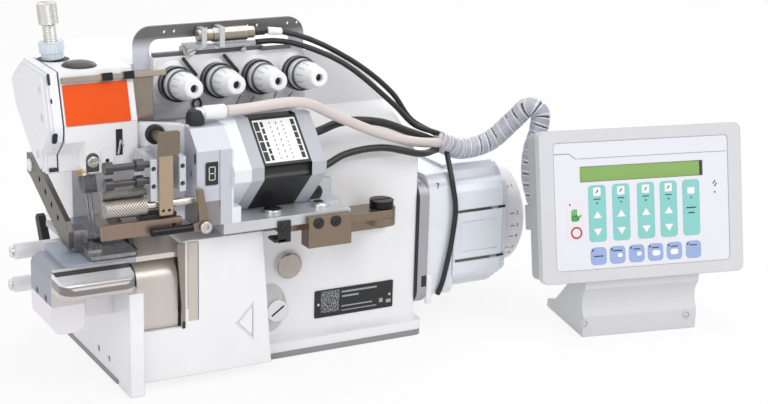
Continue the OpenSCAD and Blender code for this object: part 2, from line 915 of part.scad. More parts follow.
module tape_guide() {
    color("tan")
        at_left()
            difference() {
                union() {
                    along_x(-22, 39) polygon([[-47, 126], [-45, 126], [-43, 137], [-47, 137]]);
                    box(26, 36, -46, 4, 127.5, 132);
                }
                feeder_wing();
                translate([50, -23, DECK_Z - 5]) rotate([0, 0, 149.6]) box(-6, 60, -40, -5.9, 0, 80);
                rod_y(33, -50, -40, 131.5, 1.5);
            }
}

// Bell crank with a black grip that opens the nip
module nip_lever() {
    y = LEVER_S[1];
    color("tan")
        at_left() {
            difference() {
                along_y(y - 1.5, y + 1.5) {
                    translate([LEVER_S[0], LEVER_S[2]]) circle(5.5);
                    polygon([[51, 130], [58, 130], [54, 157], [49, 157]]);
                    polygon([[44, 126.5], [53, 125], [53, 133], [44, 131.5]]);
                }
                rod_y(LEVER_S[0], y - 3, y + 3, LEVER_S[2], LEVER_STUD_R + run_fit);
            }
            rod_x(14, 46, y - 0.5, LEVER_S[2], 3);
        }
}

// Servo drive

module servo_flange() {
    color("silver")
        at_right()
            difference() {
                along_x(0, 11) round_rect(SERVO_S[0] - 57, SERVO_S[0] + 57, SERVO_S[1] - 55, SERVO_S[1] + 50, 14);
                rod_x(-1, 12, SERVO_S[0], SERVO_S[1], shaft_r + run_fit);
            }
}

// Side view of the servo's cover: a square with two round steps at each corner
module servo_outline() {
    d = servo_r;
    polygon([
        for (q = [[1, 1], [-1, 1], [-1, -1], [1, -1]])
            let (
                h = q[1] > 0 ? d : d - 5,
                corner = [[d, h - 32], [d, h - 18], [d - 4, h - 13], [d - 12, h - 10], [d - 16, h - 4], [d - 23, h]]
            )
            for (k = [0 : 5])
                let (c = corner[q[0] * q[1] > 0 ? k : 5 - k])
                [c[0] * q[0], c[1] * q[1]]
    ]);
}

module servo_housing() {
    x0 = 11;
    x1 = x0 + SERVO_L;
    slots = [-22.5, 20];
    color("white")
        at_right()
            difference() {
                translate([0, SERVO_S[0], SERVO_S[1]]) {
                    along_x(x0, x0 + 26) round_rect(-servo_r + 1, servo_r - 1, -servo_r + 5, servo_r - 2, 10);
                    along_x(x0 + 25, x1 - 5) servo_outline();
                    along_x(x1 - 6, x1) scale(0.96) servo_outline();
                }
                rod_x(x0 - 1, x1 + 1, SERVO_S[0], SERVO_S[1], shaft_r + run_fit);
                translate([0, SERVO_S[0] - servo_r, SERVO_S[1]]) {
                    for (z = slots) box(x0 + 27, x1 + 1, -1, 4, z, z + 2.5);
                    box(x0 + 32, x1 - 9, -1, 1, -14, 12);
                }
            }
}

module handwheel() {
    x0 = 11 + SERVO_L + 1;
    x1 = x0 + wheel_w;
    color("gainsboro")
        at_right() {
            translate([x0, SERVO_S[0], SERVO_S[1]])
                rotate([0, 90, 0])
                    rotate_extrude($fn = 96)
                        polygon([
                            [0, 0], [wheel_r - 2, 0], [wheel_r, 2], [wheel_r, wheel_w - 4],
                            [wheel_r - 4, wheel_w], [wheel_r - 10, wheel_w], [wheel_r - 13, wheel_w - 8],
                            [18, wheel_w - 8], [16, wheel_w - 2], [0, wheel_w - 2]
                        ]);
            rod_x(-SHAFT_IN + 1, x0 + 2, SERVO_S[0], SERVO_S[1], shaft_r);
        }
}

// Operator panel on its stand

module panel_case() {
    half = panel_w / 2;
    color("lightgray")
        on_panel_face() {
            along_y(8, panel_t - 6) round_rect(-half + 2, half - 2, 2, panel_h - 2, 5);
            along_y(panel_t - 7, panel_t) round_rect(-half + 8, half - 8, 8, panel_h - 8, 5);
            box(-80, -72, panel_t - 1, panel_t + 10, 42, 58);
            rod_z(-76, panel_t + 10, 42, 62, 9.4);
        }
}

module panel_front() {
    half = panel_w / 2;
    color("gainsboro")
        on_panel_face()
            difference() {
                along_y(0, 8) round_rect(-half, half, 0, panel_h, 6);
                along_y(-1, 0.8) round_rect(-half + 12.5, half - 12, 10, panel_h - 10, 3);
                along_y(-1, 2) round_rect(-half + 35, half - 35, panel_h - 42.5, panel_h - 30, 1);
            }
}

module panel_stand() {
    half = STAND_W / 2;
    drop = tan(panel_tilt);
    color("gainsboro")
        difference() {
            on_panel()
                along_x(-half, half)
                    difference() {
                        polygon([
                            [0, 0], [STAND_D, 0], [STAND_D, 7], [60, 12], [36, 34], [28, 60], [0, 60]
                        ]);
                        translate([-12, 29]) circle(17);
                    }
            on_panel_face() box(-200, 200, -60, 200, 0, 200);
            on_panel()
                for (x = [-half + 12, half - 12])
                    rod_z(x, STAND_D - 12, -1, 20, 2.6);
        }
}

// Cables, each along its own route

module wrapped_bundle() {
    color("mistyrose")
        soft_tube([
            right_point(28, 17, 152.5), right_point(50, 18, 143.6), right_point(75.4, 15, 147.8),
            right_point(95, 6, 167.5), right_point(104.5, -1, 178.5), right_point(111.5, -4.5, 174.5),
            right_point(111, -6.5, 161), right_point(104.5, -8, 143), right_point(100.5, -13, 124),
            right_point(102.9, -20.2, 101.7)
        ], 8.3, 12, 2);
}

module sleeve_cable() {
    color("white")
        soft_tube([
            left_point(84.8, -22, 206), left_point(95, -22, 206), left_point(148, -23, 206.5),
            left_point(180, -14, 191), right_point(-45, -10, 174), right_point(-5, -2, 160),
            right_point(27.6, 12.8, 152.2)
        ], 4, 8, 2);
}

module motor_cable() {
    start = MOTOR_S[0] + stepper_l + 0.4;
    color("black")
        soft_tube([
            left_point(start, -4, 176), left_point(start + 12, -4, 177), left_point(190, -1, 182),
            right_point(-38, 1, 179), right_point(-5, 8, 166), right_point(27, 21, 151.9)
        ], 3.3, 8, 2);
}

module signal_cable() {
    start = MOTOR_S[0] + stepper_l + 0.4;
    color("black")
        soft_tube([
            left_point(start, -14, 150), left_point(start + 12, -14, 151), left_point(190, -9, 158),
            right_point(-38, -8, 160), right_point(-5, -9, 152), right_point(27, 15.5, 146)
        ], 2.8, 8, 2);
}

module sensor_cable_1() {
    color("black")
        soft_tube([
            left_point(131, 31, body_h + 20), left_point(142, 31, body_h + 20), right_point(-52, 24, 226),
            right_point(-15, 18, 196), right_point(6, 22, 171), right_point(27.6, 21.2, 158.2)
        ], 2.2, 8, 2);
}

module sensor_cable_2() {
    color("black")
        soft_tube([
            left_point(134.5, 36, body_h + 10.7), left_point(150, 34.5, body_h + 10.9), left_point(192, 20, body_h - 2),
            right_point(-18, 10, 189), right_point(6, 15.5, 168), right_point(27.6, 16, 159.4)
        ], 2.2, 8, 2);
}

module servo_cable() {
    color("black")
        soft_tube([
            right_point(22.8, -0.7, 26.5), right_point(24.2, -3.3, 34), right_point(29, -3.8, 54),
            right_point(33.4, -3.8, 79), right_point(35, -3.8, 99), right_point(32, -1.6, 123),
            right_point(34, 12.5, 144.5)
        ], 2.2, 8, 2);
}

oil_pan();
machine_body();
top_cover();
end_cover();
front_badge();
oil_window();
thread_guide_bar();
tension_panel();
carrying_handle();
tension_posts();
tension_knob_1();
tension_knob_2();
tension_knob_3();
tension_knob_4();
thread_sensor();
name_plate();
oil_sight_glass();
needle_plate();
cloth_plate();
bed_block();
front_guard();
support_pins();
chip_guard();
front_cover();
feed_dog();
lower_looper();
upper_looper();
upper_knife();
needle_bush();
needle_bar();
needle_clamp();
presser_arm();
presser_foot();
pressure_screw();
lock_nut();
rear_lever();
swing_bracket();
swing_arm();
feeder_deck();
feeder_housing();
stepper_motor();
feeder_blocks();
spring_plate();
feed_roller();
nip_roller();
tape_guide();
nip_lever();
servo_flange();
servo_housing();
handwheel();
panel_case();
panel_front();
panel_stand();
wrapped_bundle();
sleeve_cable();
motor_cable();
signal_cable();
sensor_cable_1();
sensor_cable_2();
servo_cable();
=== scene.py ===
"""Finishes, cables and small fittings of an overlock sewing machine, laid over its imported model."""

import math

import bmesh
import bpy
from mathutils import Matrix, Vector


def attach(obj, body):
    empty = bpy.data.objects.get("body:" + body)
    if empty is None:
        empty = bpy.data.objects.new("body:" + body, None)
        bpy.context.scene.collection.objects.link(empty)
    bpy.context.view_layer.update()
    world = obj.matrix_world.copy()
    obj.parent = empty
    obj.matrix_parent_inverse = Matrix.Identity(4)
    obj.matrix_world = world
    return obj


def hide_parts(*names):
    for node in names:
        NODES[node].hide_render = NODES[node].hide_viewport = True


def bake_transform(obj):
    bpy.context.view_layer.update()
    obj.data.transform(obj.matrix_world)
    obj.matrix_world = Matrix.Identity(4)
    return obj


bl_info = {
    "name": "Overlock sewing machine",
    "version": (1, 0, 0),
    "blender": (4, 5, 0),
    "location": "3D View > Sidebar > Overlock",
    "description": "Finishes, cables and small fittings over the machine's solid model",
    "category": "Object",
}

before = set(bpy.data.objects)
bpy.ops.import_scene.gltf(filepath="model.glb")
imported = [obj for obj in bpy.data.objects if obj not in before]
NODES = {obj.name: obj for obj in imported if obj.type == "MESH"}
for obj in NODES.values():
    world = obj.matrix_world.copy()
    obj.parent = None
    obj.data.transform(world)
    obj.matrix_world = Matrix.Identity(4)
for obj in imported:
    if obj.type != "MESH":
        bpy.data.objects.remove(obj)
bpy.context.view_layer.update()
MM = 0.001
ACROSS, INWARD, UP, FRONT = (1, 0, 0), (0, 1, 0), (0, 0, 1), (0, -1, 0)


# Places on the machine, in mm

BODY_LEFT, BODY_FRONT = 131, 67
HEAD_FACE, HEAD_SILL, HEAD_LEAN = -10.4, 202, math.atan2(15, 50)


def left(x, y, z):
    """A place from the left end wall, the body's front face and the floor."""
    return Vector((x - BODY_LEFT, y - BODY_FRONT, z)) * MM


def shift(x, y, z):
    """A move."""
    return Matrix.Translation(Vector((x, y, z)) * MM)


def spin(angle, axis="Z"):
    """A turn in degrees."""
    return Matrix.Rotation(math.radians(angle), 4, axis)


def widen(x, y):
    """A stretch along X and Y."""
    return Matrix.Diagonal((x, y, 1.0, 1.0))


def facing(at, normal, up=UP):
    """A matrix at a place, with +Z along the normal and +Y towards up."""
    out = Vector(normal).normalized()
    side = Vector(up).cross(out).normalized()
    turn = Matrix((side, out.cross(side), out)).transposed().to_4x4()
    turn.translation = at
    return turn


def front(x, y, z):
    """A place on an upright front face."""
    return facing(left(x, y, z), FRONT)


def end(x, y, z):
    """A place on an upright left end face."""
    return facing(left(x, y, z), (-1, 0, 0))


def top(x, y, z):
    """A place on a level face."""
    return facing(left(x, y, z), UP, INWARD)


def head(x, height, out=0.0):
    """A place on the head's leaning front face."""
    normal = Vector((0, -math.cos(HEAD_LEAN), math.sin(HEAD_LEAN)))
    rise = Vector((0, math.sin(HEAD_LEAN), math.cos(HEAD_LEAN)))
    return facing(left(x, HEAD_FACE, HEAD_SILL) + (rise * height + normal * out) * MM, normal, rise)


PANEL_FOOT = shift(297.8, -154.6, 0) @ spin(-11.5)
PANEL_FACE = PANEL_FOOT @ shift(0, -4, 49) @ spin(77, "X")


def panel(x, height, out=0.0):
    """A place on the operator panel's tilted face."""
    return PANEL_FACE @ shift(x, height, out)


KNOB_AT, KNOB_PITCH, KNOB_COUNT, KNOB_RIBS = left(65, 31, 217), 34.2, 4, 12
KNOB_AXIS = (0, -math.cos(math.radians(6)), math.sin(math.radians(6)))
KNOB_FOOT = KNOB_AT.dot(Vector(KNOB_AXIS)) / MM
SCREW_AT = left(-24.5, 44, 240)
SCREW_AXIS = (-math.sin(math.radians(5.5)), 0, math.cos(math.radians(5.5)))

# Knurls: axis, place, teeth, pitch, and the length along the axis that they cover
SCREW_KNURL = (SCREW_AXIS, SCREW_AT, 26, 1.6, 280.6, 300)
FEED_KNURL = (ACROSS, left(0, -42, 147), 16, 2.4, -150, -117.8)
NIP_KNURL = (ACROSS, left(0, -36, 156.1), 11, 2.2, -150, -116.8)
SCREW_THREAD = 1.4


# Finishes

FINISHES = {}
BUMP_DEPTH, EASE_SAMPLES, ROUGH_SPREAD = 0.0004, 4, 0.15


def lin(red, green, blue):
    """A screen colour from 0 to 255 as a shader colour."""
    parts = [c / 255 for c in (red, green, blue)]
    return tuple(c / 12.92 if c < 0.04045 else ((c + 0.055) / 1.055) ** 2.4 for c in parts) + (1.0,)


class Value:
    """A shader value whose arithmetic adds Math nodes."""

    def __init__(self, wiring, socket):
        self.wiring, self.socket = wiring, socket

    def do(self, operation, *parts):
        return self.wiring.node("Math", {"operation": operation}, dict(enumerate(parts)))

    def __add__(self, other):
        return self.do("ADD", self, other)

    def __radd__(self, other):
        return self.do("ADD", other, self)

    def __sub__(self, other):
        return self.do("SUBTRACT", self, other)

    def __rsub__(self, other):
        return self.do("SUBTRACT", other, self)

    def __mul__(self, other):
        return self.do("MULTIPLY", self, other)

    def __rmul__(self, other):
        return self.do("MULTIPLY", other, self)

    def __truediv__(self, other):
        return self.do("DIVIDE", self, other)

    def __gt__(self, other):
        return self.do("GREATER_THAN", self, other)

    def __lt__(self, other):
        return self.do("LESS_THAN", self, other)

    def within(self, low, high):
        return (self > low) * (self < high)

    def sine(self):
        return self.do("SINE", self)

    def most(self, other):
        return self.do("MAXIMUM", self, other)


class Wiring:
    """A node tree, filled by node()."""

    def __init__(self, tree):
        self.tree = tree
        tree.nodes.clear()

    def node(self, kind, settings=None, values=None, out=0):
        """Adds a node with its settings and the values or links of its sockets, and gives one output."""
        made = self.tree.nodes.new("ShaderNode" + kind)
        for key, value in (settings or {}).items():
            setattr(made, key, value)
        for key, value in (values or {}).items():
            if isinstance(value, Value):
                self.tree.links.new(value.socket, made.inputs[key])
            else:
                made.inputs[key].default_value = value
        return Value(self, made.outputs[out]) if made.outputs else None

    def seen(self):
        """1 for rays from the camera and for those that metal or glass passes on, else 0."""
        rays = ("Camera", "Glossy", "Transmission")
        camera, glossy, clear = (self.node("LightPath", out=f"Is {ray} Ray") for ray in rays)
        return camera.most(glossy).most(clear)


class Finish(Wiring):
    """One material, whose shader close() sets."""

    def __init__(self, name):
        self.material = FINISHES[name] = bpy.data.materials.new(name + "_finish")
        self.material.use_nodes = True
        super().__init__(self.material.node_tree)
        self.place = self.node("TexCoord", out="Object")

    def noise(self, scale, detail=2.0, stretch=None):
        at = self.place
        if stretch:
            at = self.node("VectorMath", {"operation": "MULTIPLY"}, {0: at, 1: stretch})
        return self.node("TexNoise", {}, {"Vector": at, "Scale": scale, "Detail": detail})

    def along(self, direction):
        """Distance in mm along a direction from the frame's origin."""
        values = {0: self.place, 1: direction}
        return self.node("VectorMath", {"operation": "DOT_PRODUCT"}, values, out="Value") * (1 / MM)

    def mix(self, factor, a, b):
        """One colour over another. Sockets 6 and 7 and output 2 are a Mix node's colours."""
        return self.node("Mix", {"data_type": "RGBA"}, {0: factor, 6: a, 7: b}, out=2)

    def close(self, colour, rough, metal, height, relief, ease, fixed):
        """Sets the shader, with height as its relief and edges eased by a radius in mm."""
        eased = self.node("Bevel", {"samples": EASE_SAMPLES}, {"Radius": ease * MM})
        values = {"Strength": relief, "Distance": BUMP_DEPTH, "Height": height, "Normal": eased}
        bump = self.node("Bump", {}, values)
        values = {"Base Color": colour, "Roughness": rough, "Metallic": metal, "Normal": bump, **fixed}
        self.node("OutputMaterial", values={"Surface": self.node("BsdfPrincipled", values=values)})


def surface(name, colour, rough=0.4, metal=0.0, tone=0.03, patch=30.0, grain=1500.0, relief=0.05,
            ease=0.6, streak=None, paint=None, shape=None, fixed=None):
    """A finish with soft patches, a fine grain, eased edges and, where given, painted marks, painted light and shade,
    and its own relief.
    """
    f = Finish(name)
    patches, fine = f.noise(patch, 4.0), f.noise(grain, 2.0, streak)
    light = tuple(min(1.0, c * (1 + tone)) for c in colour[:3]) + (1.0,)
    dark = tuple(c * (1 - 2 * tone) for c in colour[:3]) + (1.0,)
    tint = f.mix(patches, dark, light)
    if paint:
        tint = paint(f, tint)
    height = shape(f) + fine * 0.3 if shape else fine
    f.close(tint, rough + (fine + patches - 1.0) * ROUGH_SPREAD, metal, height, relief, ease, fixed or {})


def round_about(f, axis, at):
    """The angle round an axis through a place, and the length in mm along it."""
    ahead = Vector(axis).normalized()
    side = ahead.orthogonal().normalized()
    u, v = (f.along(s[:]) - at.dot(s) / MM for s in (side, ahead.cross(side)))
    return u.do("ARCTAN2", v, u), f.along(ahead[:])


def crossed(f, axis, at, teeth, pitch):
    """Crossed ridges round a part, with the angle and the length."""
    angle, length = round_about(f, axis, at)
    run = length * (2 * math.pi / pitch)
    return (angle * teeth + run).sine().most((angle * teeth - run).sine()), angle, length


def knurl(axis, at, teeth, pitch, low, high, thread=None):
    """Crossed ridges on a length of a part, and a screw thread on the rest of it."""
    def shape(f):
        cross, angle, length = crossed(f, axis, at, teeth, pitch)
        inside = length.within(low, high)
        rest = (length * (2 * math.pi / thread) + angle).sine() if thread else cross * 0.0
        return cross * inside + rest * (1.0 - inside)
    return shape


def grooves(axis, at, teeth, pitch, low, high, colour):
    """Painted shade in the hollows of a knurl."""
    def paint(f, tint):
        cross, _, length = crossed(f, axis, at, teeth, pitch)
        return f.mix(length.within(low, high) * (cross < 0.3), tint, colour)
    return paint


def flutes(axis, at, teeth):
    """Straight ridges along a round part."""
    return lambda f: (round_about(f, axis, at)[0] * teeth).sine()


def ridges(direction, pitch):
    """Ridges across a direction, a pitch in mm apart."""
    return lambda f: (f.along(direction) * (2 * math.pi / pitch)).sine()


def band(direction, *stripes):
    """Stripes of other colours across a direction: low and high in mm, and the colour."""
    def paint(f, tint):
        reach = f.along(direction)
        for low, high, colour in stripes:
            tint = f.mix(reach.within(low, high), tint, colour)
        return tint
    return paint


def both(first, second):
    """One paint over another."""
    return lambda f, tint: second(f, first(f, tint))


def ribs(f, tint):
    """Painted shade between the flutes round each tension knob, on the cone in front of its collar."""
    rise = Vector(KNOB_AXIS).cross((-1, 0, 0))
    across = f.along(ACROSS) - (KNOB_AT.x / MM - KNOB_PITCH / 2)
    u = across.do("MODULO", across, KNOB_PITCH) - KNOB_PITCH / 2
    v = f.along(rise[:]) - KNOB_AT.dot(rise) / MM
    flute_shade = (u.do("ARCTAN2", v, u) * KNOB_RIBS).sine() > 0.62
    cone = f.along(KNOB_AXIS).within(KNOB_FOOT + 20, KNOB_FOOT + 30)
    return f.mix(flute_shade * cone, tint, lin(214, 218, 226))


def low_front(f, tint):
    """Painted shade on the feeder housing's lower part beside its foot."""
    part = f.along(UP).within(126, 146) * (f.along(ACROSS) < -61.4) * (f.along(INWARD) < -72)
    return f.mix(part, tint, lin(144, 138, 140))


def dark_top(f, tint):
    """Painted shade on the carrying handle's sheet, darker towards its top bar."""
    return f.mix((f.along(UP) - 243) / 9, tint, lin(112, 110, 110))


def speckles(f, tint):
    """Dark speckle on the name plate's square."""
    return f.mix(f.noise(900, 0.0) > 0.5, tint, lin(40, 40, 42))


def finishes(colours):
    """Makes every finish, from the colours in the sidebar."""
    white, cool, nickel = colours.casting[:], colours.covers[:], colours.nickel[:]
    black, alloy = lin(34, 33, 35), lin(206, 208, 213)

    # Paint
    surface("casting", white, 0.32, ease=1.2, grain=700, fixed={"Coat Weight": 0.25})
    surface("cover", cool, 0.3, relief=0.04, ease=1.0, grain=700, fixed={"Coat Weight": 0.25},
            paint=band(ACROSS, (-167.2, -165.9, lin(58, 58, 62))))
    # Painted shade on the lower lip below the knobs; the dark band at the top is the guide rail's own grey.
    surface("lip", white, 0.32, ease=1.0, grain=700,
            paint=band(UP, (186, 203, lin(226, 226, 231)), (237.1, 241, lin(92, 92, 98))))
    surface("badge", colours.badge[:], 0.42, relief=0.03, fixed={"Specular IOR Level": 0.25})
    surface("servo", lin(238, 243, 250), 0.3, ease=1.5, fixed={"Coat Weight": 0.3},
            paint=band(UP, (119, 131, lin(214, 217, 225))))
    surface("wheel", lin(240, 238, 240), 0.32, tone=0.02, ease=1.2, fixed={"Coat Weight": 0.2})
    surface("scoop", lin(214, 214, 213), 0.35, tone=0.04, patch=20,
            paint=band(ACROSS, (11.6, 16, lin(196, 196, 195))))

    # Bare and plated metal
    surface("pan", lin(150, 150, 152), 0.5, 0.2, relief=0.1)
    # The handle's sheet gets painted shade towards its top bar.
    surface("sheet", colours.sheet[:], 0.42, 0.6, streak=(0.05, 1, 1), grain=2500, relief=0.06, ease=0.5,
            paint=dark_top)
    surface("nickel", nickel, 0.3, 0.85, tone=0.06, streak=(0.08, 1, 1), grain=2500)
    surface("guide", lin(150, 138, 128), 0.3, 0.75, tone=0.06, streak=(1, 1, 0.06), grain=2500,
            paint=band(ACROSS, (-135.4, -127.4, black), (-119, -111, black)))
    # Painted shade: the plate's upper part is darker.
    surface("spring", lin(178, 156, 132), 0.3, 0.6, tone=0.05, grain=160, relief=0.02,
            paint=band(UP, (184, 203, lin(126, 113, 101))))
    surface("tape", lin(144, 124, 112), 0.3, 0.6, tone=0.05, streak=(0.06, 1, 1), grain=2500)
    surface("bracket", nickel, 0.34, 0.7, tone=0.06, relief=0.06,
            paint=band(UP, (119.2, 130, black), (100, 105.4, lin(70, 62, 58))))
    surface("lever", nickel, 0.3, 0.7, tone=0.06, paint=band(ACROSS, (-118, -85.2, black)))
    surface("posts", lin(44, 44, 48), 0.35, 0.5, tone=0.06, relief=0.1,
            paint=band(KNOB_AXIS, (KNOB_FOOT + 5.6, KNOB_FOOT + 7.0, lin(150, 152, 156))))
    # Painted highlight along the sensor barrel's top and painted shade along its underside; the clamps are their own
    # colour.
    clamp = lin(206, 208, 212)
    surface("sensor", lin(158, 146, 134), 0.22, 0.6, relief=0.3, shape=ridges(ACROSS, 1.3), paint=both(
        band(UP, (230, 246.2, lin(176, 178, 184)), (246.2, 249, lin(92, 82, 74)), (254.4, 257, lin(226, 220, 214))),
        band(ACROSS, (-45.2, -40.8, clamp), (-31.2, -26.8, clamp))))
    surface("steel", lin(205, 203, 200), 0.28, 1.0, tone=0.06, streak=(1, 0.08, 1), grain=2500)
    surface("plate", lin(178, 187, 204), 0.24, 0.15, tone=0.06, patch=60, relief=0.03)
    surface("throat", lin(172, 178, 190), 0.22, 0.4, tone=0.06, patch=60, relief=0.03,
            paint=band(ACROSS, (-121, -70, lin(226, 216, 207))))
    surface("chrome", lin(222, 222, 224), 0.1, 1.0, tone=0.04, relief=0.02, ease=0.8)
    # Painted reflections and shade across the guard's height: a dark band near its top, a grey band lower down and a
    # brownish one on its underside.
    surface("nose", lin(236, 236, 239), 0.16, 0.55, tone=0.04, relief=0.02, ease=1.0, paint=band(
        UP, (84, 91, lin(206, 197, 194)), (91, 97.4, lin(132, 127, 126)), (101.4, 103, lin(84, 84, 88))))
    surface("foot", lin(160, 160, 163), 0.2, 0.85, tone=0.36, patch=260, ease=0.5)
    surface("dark_steel", lin(110, 106, 102), 0.35, 0.9, tone=0.08, relief=0.08)
    surface("aluminium", alloy, 0.38, 0.35, grain=1800, relief=0.06, ease=0.8)
    surface("bed", lin(160, 165, 176), 0.4, 0.3, tone=0.04, relief=0.06, ease=1.0, paint=both(
        band(INWARD, (-94, -92, lin(216, 208, 208))), band(UP, (50, 73.6, lin(238, 235, 242)))))
    surface("blocks", alloy, 0.34, 0.4, relief=0.06,
            paint=band(ACROSS, (-160, -115.7, lin(70, 70, 74))))
    # Painted shade on the lower front beside the foot, and painted light over the left wing, which lies in shade.
    surface("housing", lin(202, 204, 214), 0.36, 0.25, grain=1300, relief=0.07, ease=1.0, paint=both(
        low_front, band(ACROSS, (-110, -80, lin(246, 248, 254)), (-52.4, -37, lin(234, 239, 244)))))
    surface("guard", lin(210, 203, 196), 0.32, 0.4, tone=0.05, grain=900, relief=0.03)
    surface("brass", lin(190, 150, 80), 0.25, 1.0, tone=0.08, relief=0.1)
    face = lin(184, 187, 194)
    surface("motor", lin(24, 24, 26), 0.4, tone=0.1, relief=0.12, ease=0.5,
            paint=band(ACROSS, (-40, -28, face), (11, 30, face)))
    surface("flange", lin(174, 172, 178), 0.4, 0.35, tone=0.04, streak=(1, 1, 0.06), relief=0.06,
            paint=band(ACROSS, (130, 133.2, lin(44, 44, 47))))
    surface("pressure", lin(212, 210, 206), 0.25, 1.0, tone=0.08, relief=0.5,
            shape=knurl(*SCREW_KNURL, SCREW_THREAD))
    # The rollers' knurl hollows get painted shade.
    surface("feed_roller", lin(214, 208, 200), 0.25, 0.8, tone=0.08, relief=0.5,
            shape=knurl(*FEED_KNURL), paint=grooves(*FEED_KNURL, lin(72, 70, 68)))
    surface("nip_roller", lin(160, 157, 152), 0.3, 0.8, tone=0.08, relief=0.5,
            shape=knurl(*NIP_KNURL), paint=grooves(*NIP_KNURL, lin(52, 50, 50)))

    # Plastic, rubber and glass
    # Painted shade between the knobs' flutes; the rings are their own grey.
    surface("knob", lin(250, 250, 252), 0.3, relief=0.04, ease=0.5, paint=both(ribs, band(
        KNOB_AXIS, (KNOB_FOOT + 16, KNOB_FOOT + 17.4, lin(88, 90, 93)),
        (KNOB_FOOT + 11, KNOB_FOOT + 12, lin(178, 180, 182)))))
    surface("nut", lin(228, 239, 248), 0.35, relief=0.5, shape=flutes(SCREW_AXIS, SCREW_AT, 30))
    surface("case", lin(186, 187, 190), 0.5, tone=0.02, grain=900, relief=0.22, ease=1.2)
    surface("panel", colours.panel[:], 0.5, tone=0.02, grain=900, relief=0.22, ease=1.2)
    surface("black_plate", lin(26, 26, 28), 0.38, relief=0.08, tone=0.1)
    surface("rubber", lin(30, 30, 32), 0.55, tone=0.1, relief=0.15)
    surface("sleeve", lin(219, 208, 206), 0.42, relief=0.06)
    surface("cable", lin(30, 29, 30), 0.36, tone=0.15, relief=0.08)
    surface("glass", lin(74, 74, 72), 0.3, tone=0.1, relief=0.02, fixed={"Specular IOR Level": 0.2})
    surface("lens", lin(182, 172, 163), 0.08, 0.4, tone=0.12, patch=80, relief=0.02, fixed={"Coat Weight": 1.0})
    surface("lcd", lin(136, 176, 92), 0.2, tone=0.05, patch=14, relief=0.03, fixed={"Coat Weight": 0.6})
    wrap_finish()

    # Painted shade of recesses and edges, prints and marks
    surface("shadow", lin(34, 34, 37), 0.5, tone=0.15)
    surface("speckle", lin(150, 152, 154), 0.5, tone=0.05, paint=speckles)
    # Painted shade along the hinged cover's curved left edge.
    surface("edge_shade", lin(150, 140, 130), 0.4, 0.2, tone=0.06)
    surface("overlay", lin(233, 233, 241), 0.35, tone=0.012, relief=0.06, grain=600)
    surface("teal_key", lin(140, 208, 204), 0.35, relief=0.06)
    surface("blue_key", lin(158, 178, 222), 0.35, relief=0.06)
    surface("wine_mark", lin(120, 34, 44), 0.45, tone=0.08)
    for name, colour, tone in (
        ("beige", lin(206, 197, 188), 0.03),
        ("pale_mark", lin(238, 230, 234), 0.015),
        ("white_mark", lin(246, 246, 246), 0.02),
        ("dark_mark", lin(52, 56, 62), 0.1),
        ("green_mark", lin(70, 168, 80), 0.06),
        ("red_mark", lin(182, 74, 58), 0.06),
        ("grey_mark", lin(168, 172, 180), 0.04),
    ):
        surface(name, colour, 0.4, tone=tone)


def wrap_finish():
    """Milky spiral wrap with a painted highlight along each turn and the cables showing in the gaps between its turns.
    """
    f = Finish("wrap")
    turn = f.node("Attribute", {"attribute_name": "turn"}, out="Fac")
    patches, fine = f.noise(60, 3.0), f.noise(500, 2.0)
    milky = f.mix(patches, lin(148, 150, 164), lin(194, 194, 206))
    # Lighter stripes along each turn are a painted highlight.
    rim = turn.within(0.0, 0.1) + turn.within(0.62, 0.74)
    milky = f.mix(rim * 0.7, milky, lin(236, 234, 240))
    cores = f.mix(f.noise(38, 1.0) > 0.47, lin(196, 194, 206), lin(48, 44, 50))
    tint = f.mix(turn > 0.85, milky, cores)
    f.close(tint, 0.28 + fine * ROUGH_SPREAD, 0.0, fine, 0.1, 0.6, {"Coat Weight": 0.3})


NODE_FINISH = {
    "casting": ["machine_body", "top_cover", "front_cover", "support_pins"],
    "lip": ["tension_panel"],
    "cover": ["end_cover"],
    "pan": ["oil_pan"],
    "badge": ["front_badge"],
    "sheet": ["carrying_handle"],
    "guide": ["thread_guide_bar"],
    "spring": ["spring_plate"],
    "tape": ["tape_guide"],
    "bracket": ["swing_bracket"],
    "lever": ["nip_lever"],
    "nickel": ["swing_arm"],
    "sensor": ["thread_sensor"],
    "steel": ["feed_dog", "lower_looper", "upper_looper", "needle_bar"],
    "plate": ["cloth_plate"],
    "throat": ["needle_plate"],
    "chrome": ["oil_sight_glass"],
    "nose": ["front_guard"],
    "posts": ["tension_posts"],
    "dark_steel": ["upper_knife", "presser_arm"],
    "foot": ["needle_clamp", "presser_foot"],
    "aluminium": ["feeder_deck"],
    "flange": ["servo_flange"],
    "bed": ["bed_block"],
    "blocks": ["feeder_blocks"],
    "housing": ["feeder_housing"],
    "knob": ["tension_knob_1", "tension_knob_2", "tension_knob_3", "tension_knob_4"],
    "black_plate": ["name_plate"],
    "glass": ["oil_window"],
    "guard": ["chip_guard"],
    "brass": ["needle_bush"],
    "rubber": ["rear_lever"],
    "motor": ["stepper_motor"],
    "servo": ["servo_housing"],
    "wheel": ["handwheel"],
    "case": ["panel_case"],
    "panel": ["panel_front", "panel_stand"],
    "pressure": ["pressure_screw"],
    "nut": ["lock_nut"],
    "feed_roller": ["feed_roller"],
    "nip_roller": ["nip_roller"],
}


# Bench work, in mm

CORNER_STEPS = 4


def begin():
    """Leaves edit mode with nothing selected."""
    if bpy.context.object and bpy.context.object.mode != "OBJECT":
        bpy.ops.object.mode_set(mode="OBJECT")
    bpy.ops.object.select_all(action="DESELECT")


def only(obj):
    """Selects one object and makes it active."""
    begin()
    obj.select_set(True)
    bpy.context.view_layer.objects.active = obj


def edit_all():
    """Opens the active shape for editing with all of it selected."""
    bpy.ops.object.mode_set(mode="EDIT")
    bpy.ops.mesh.select_all(action="SELECT")


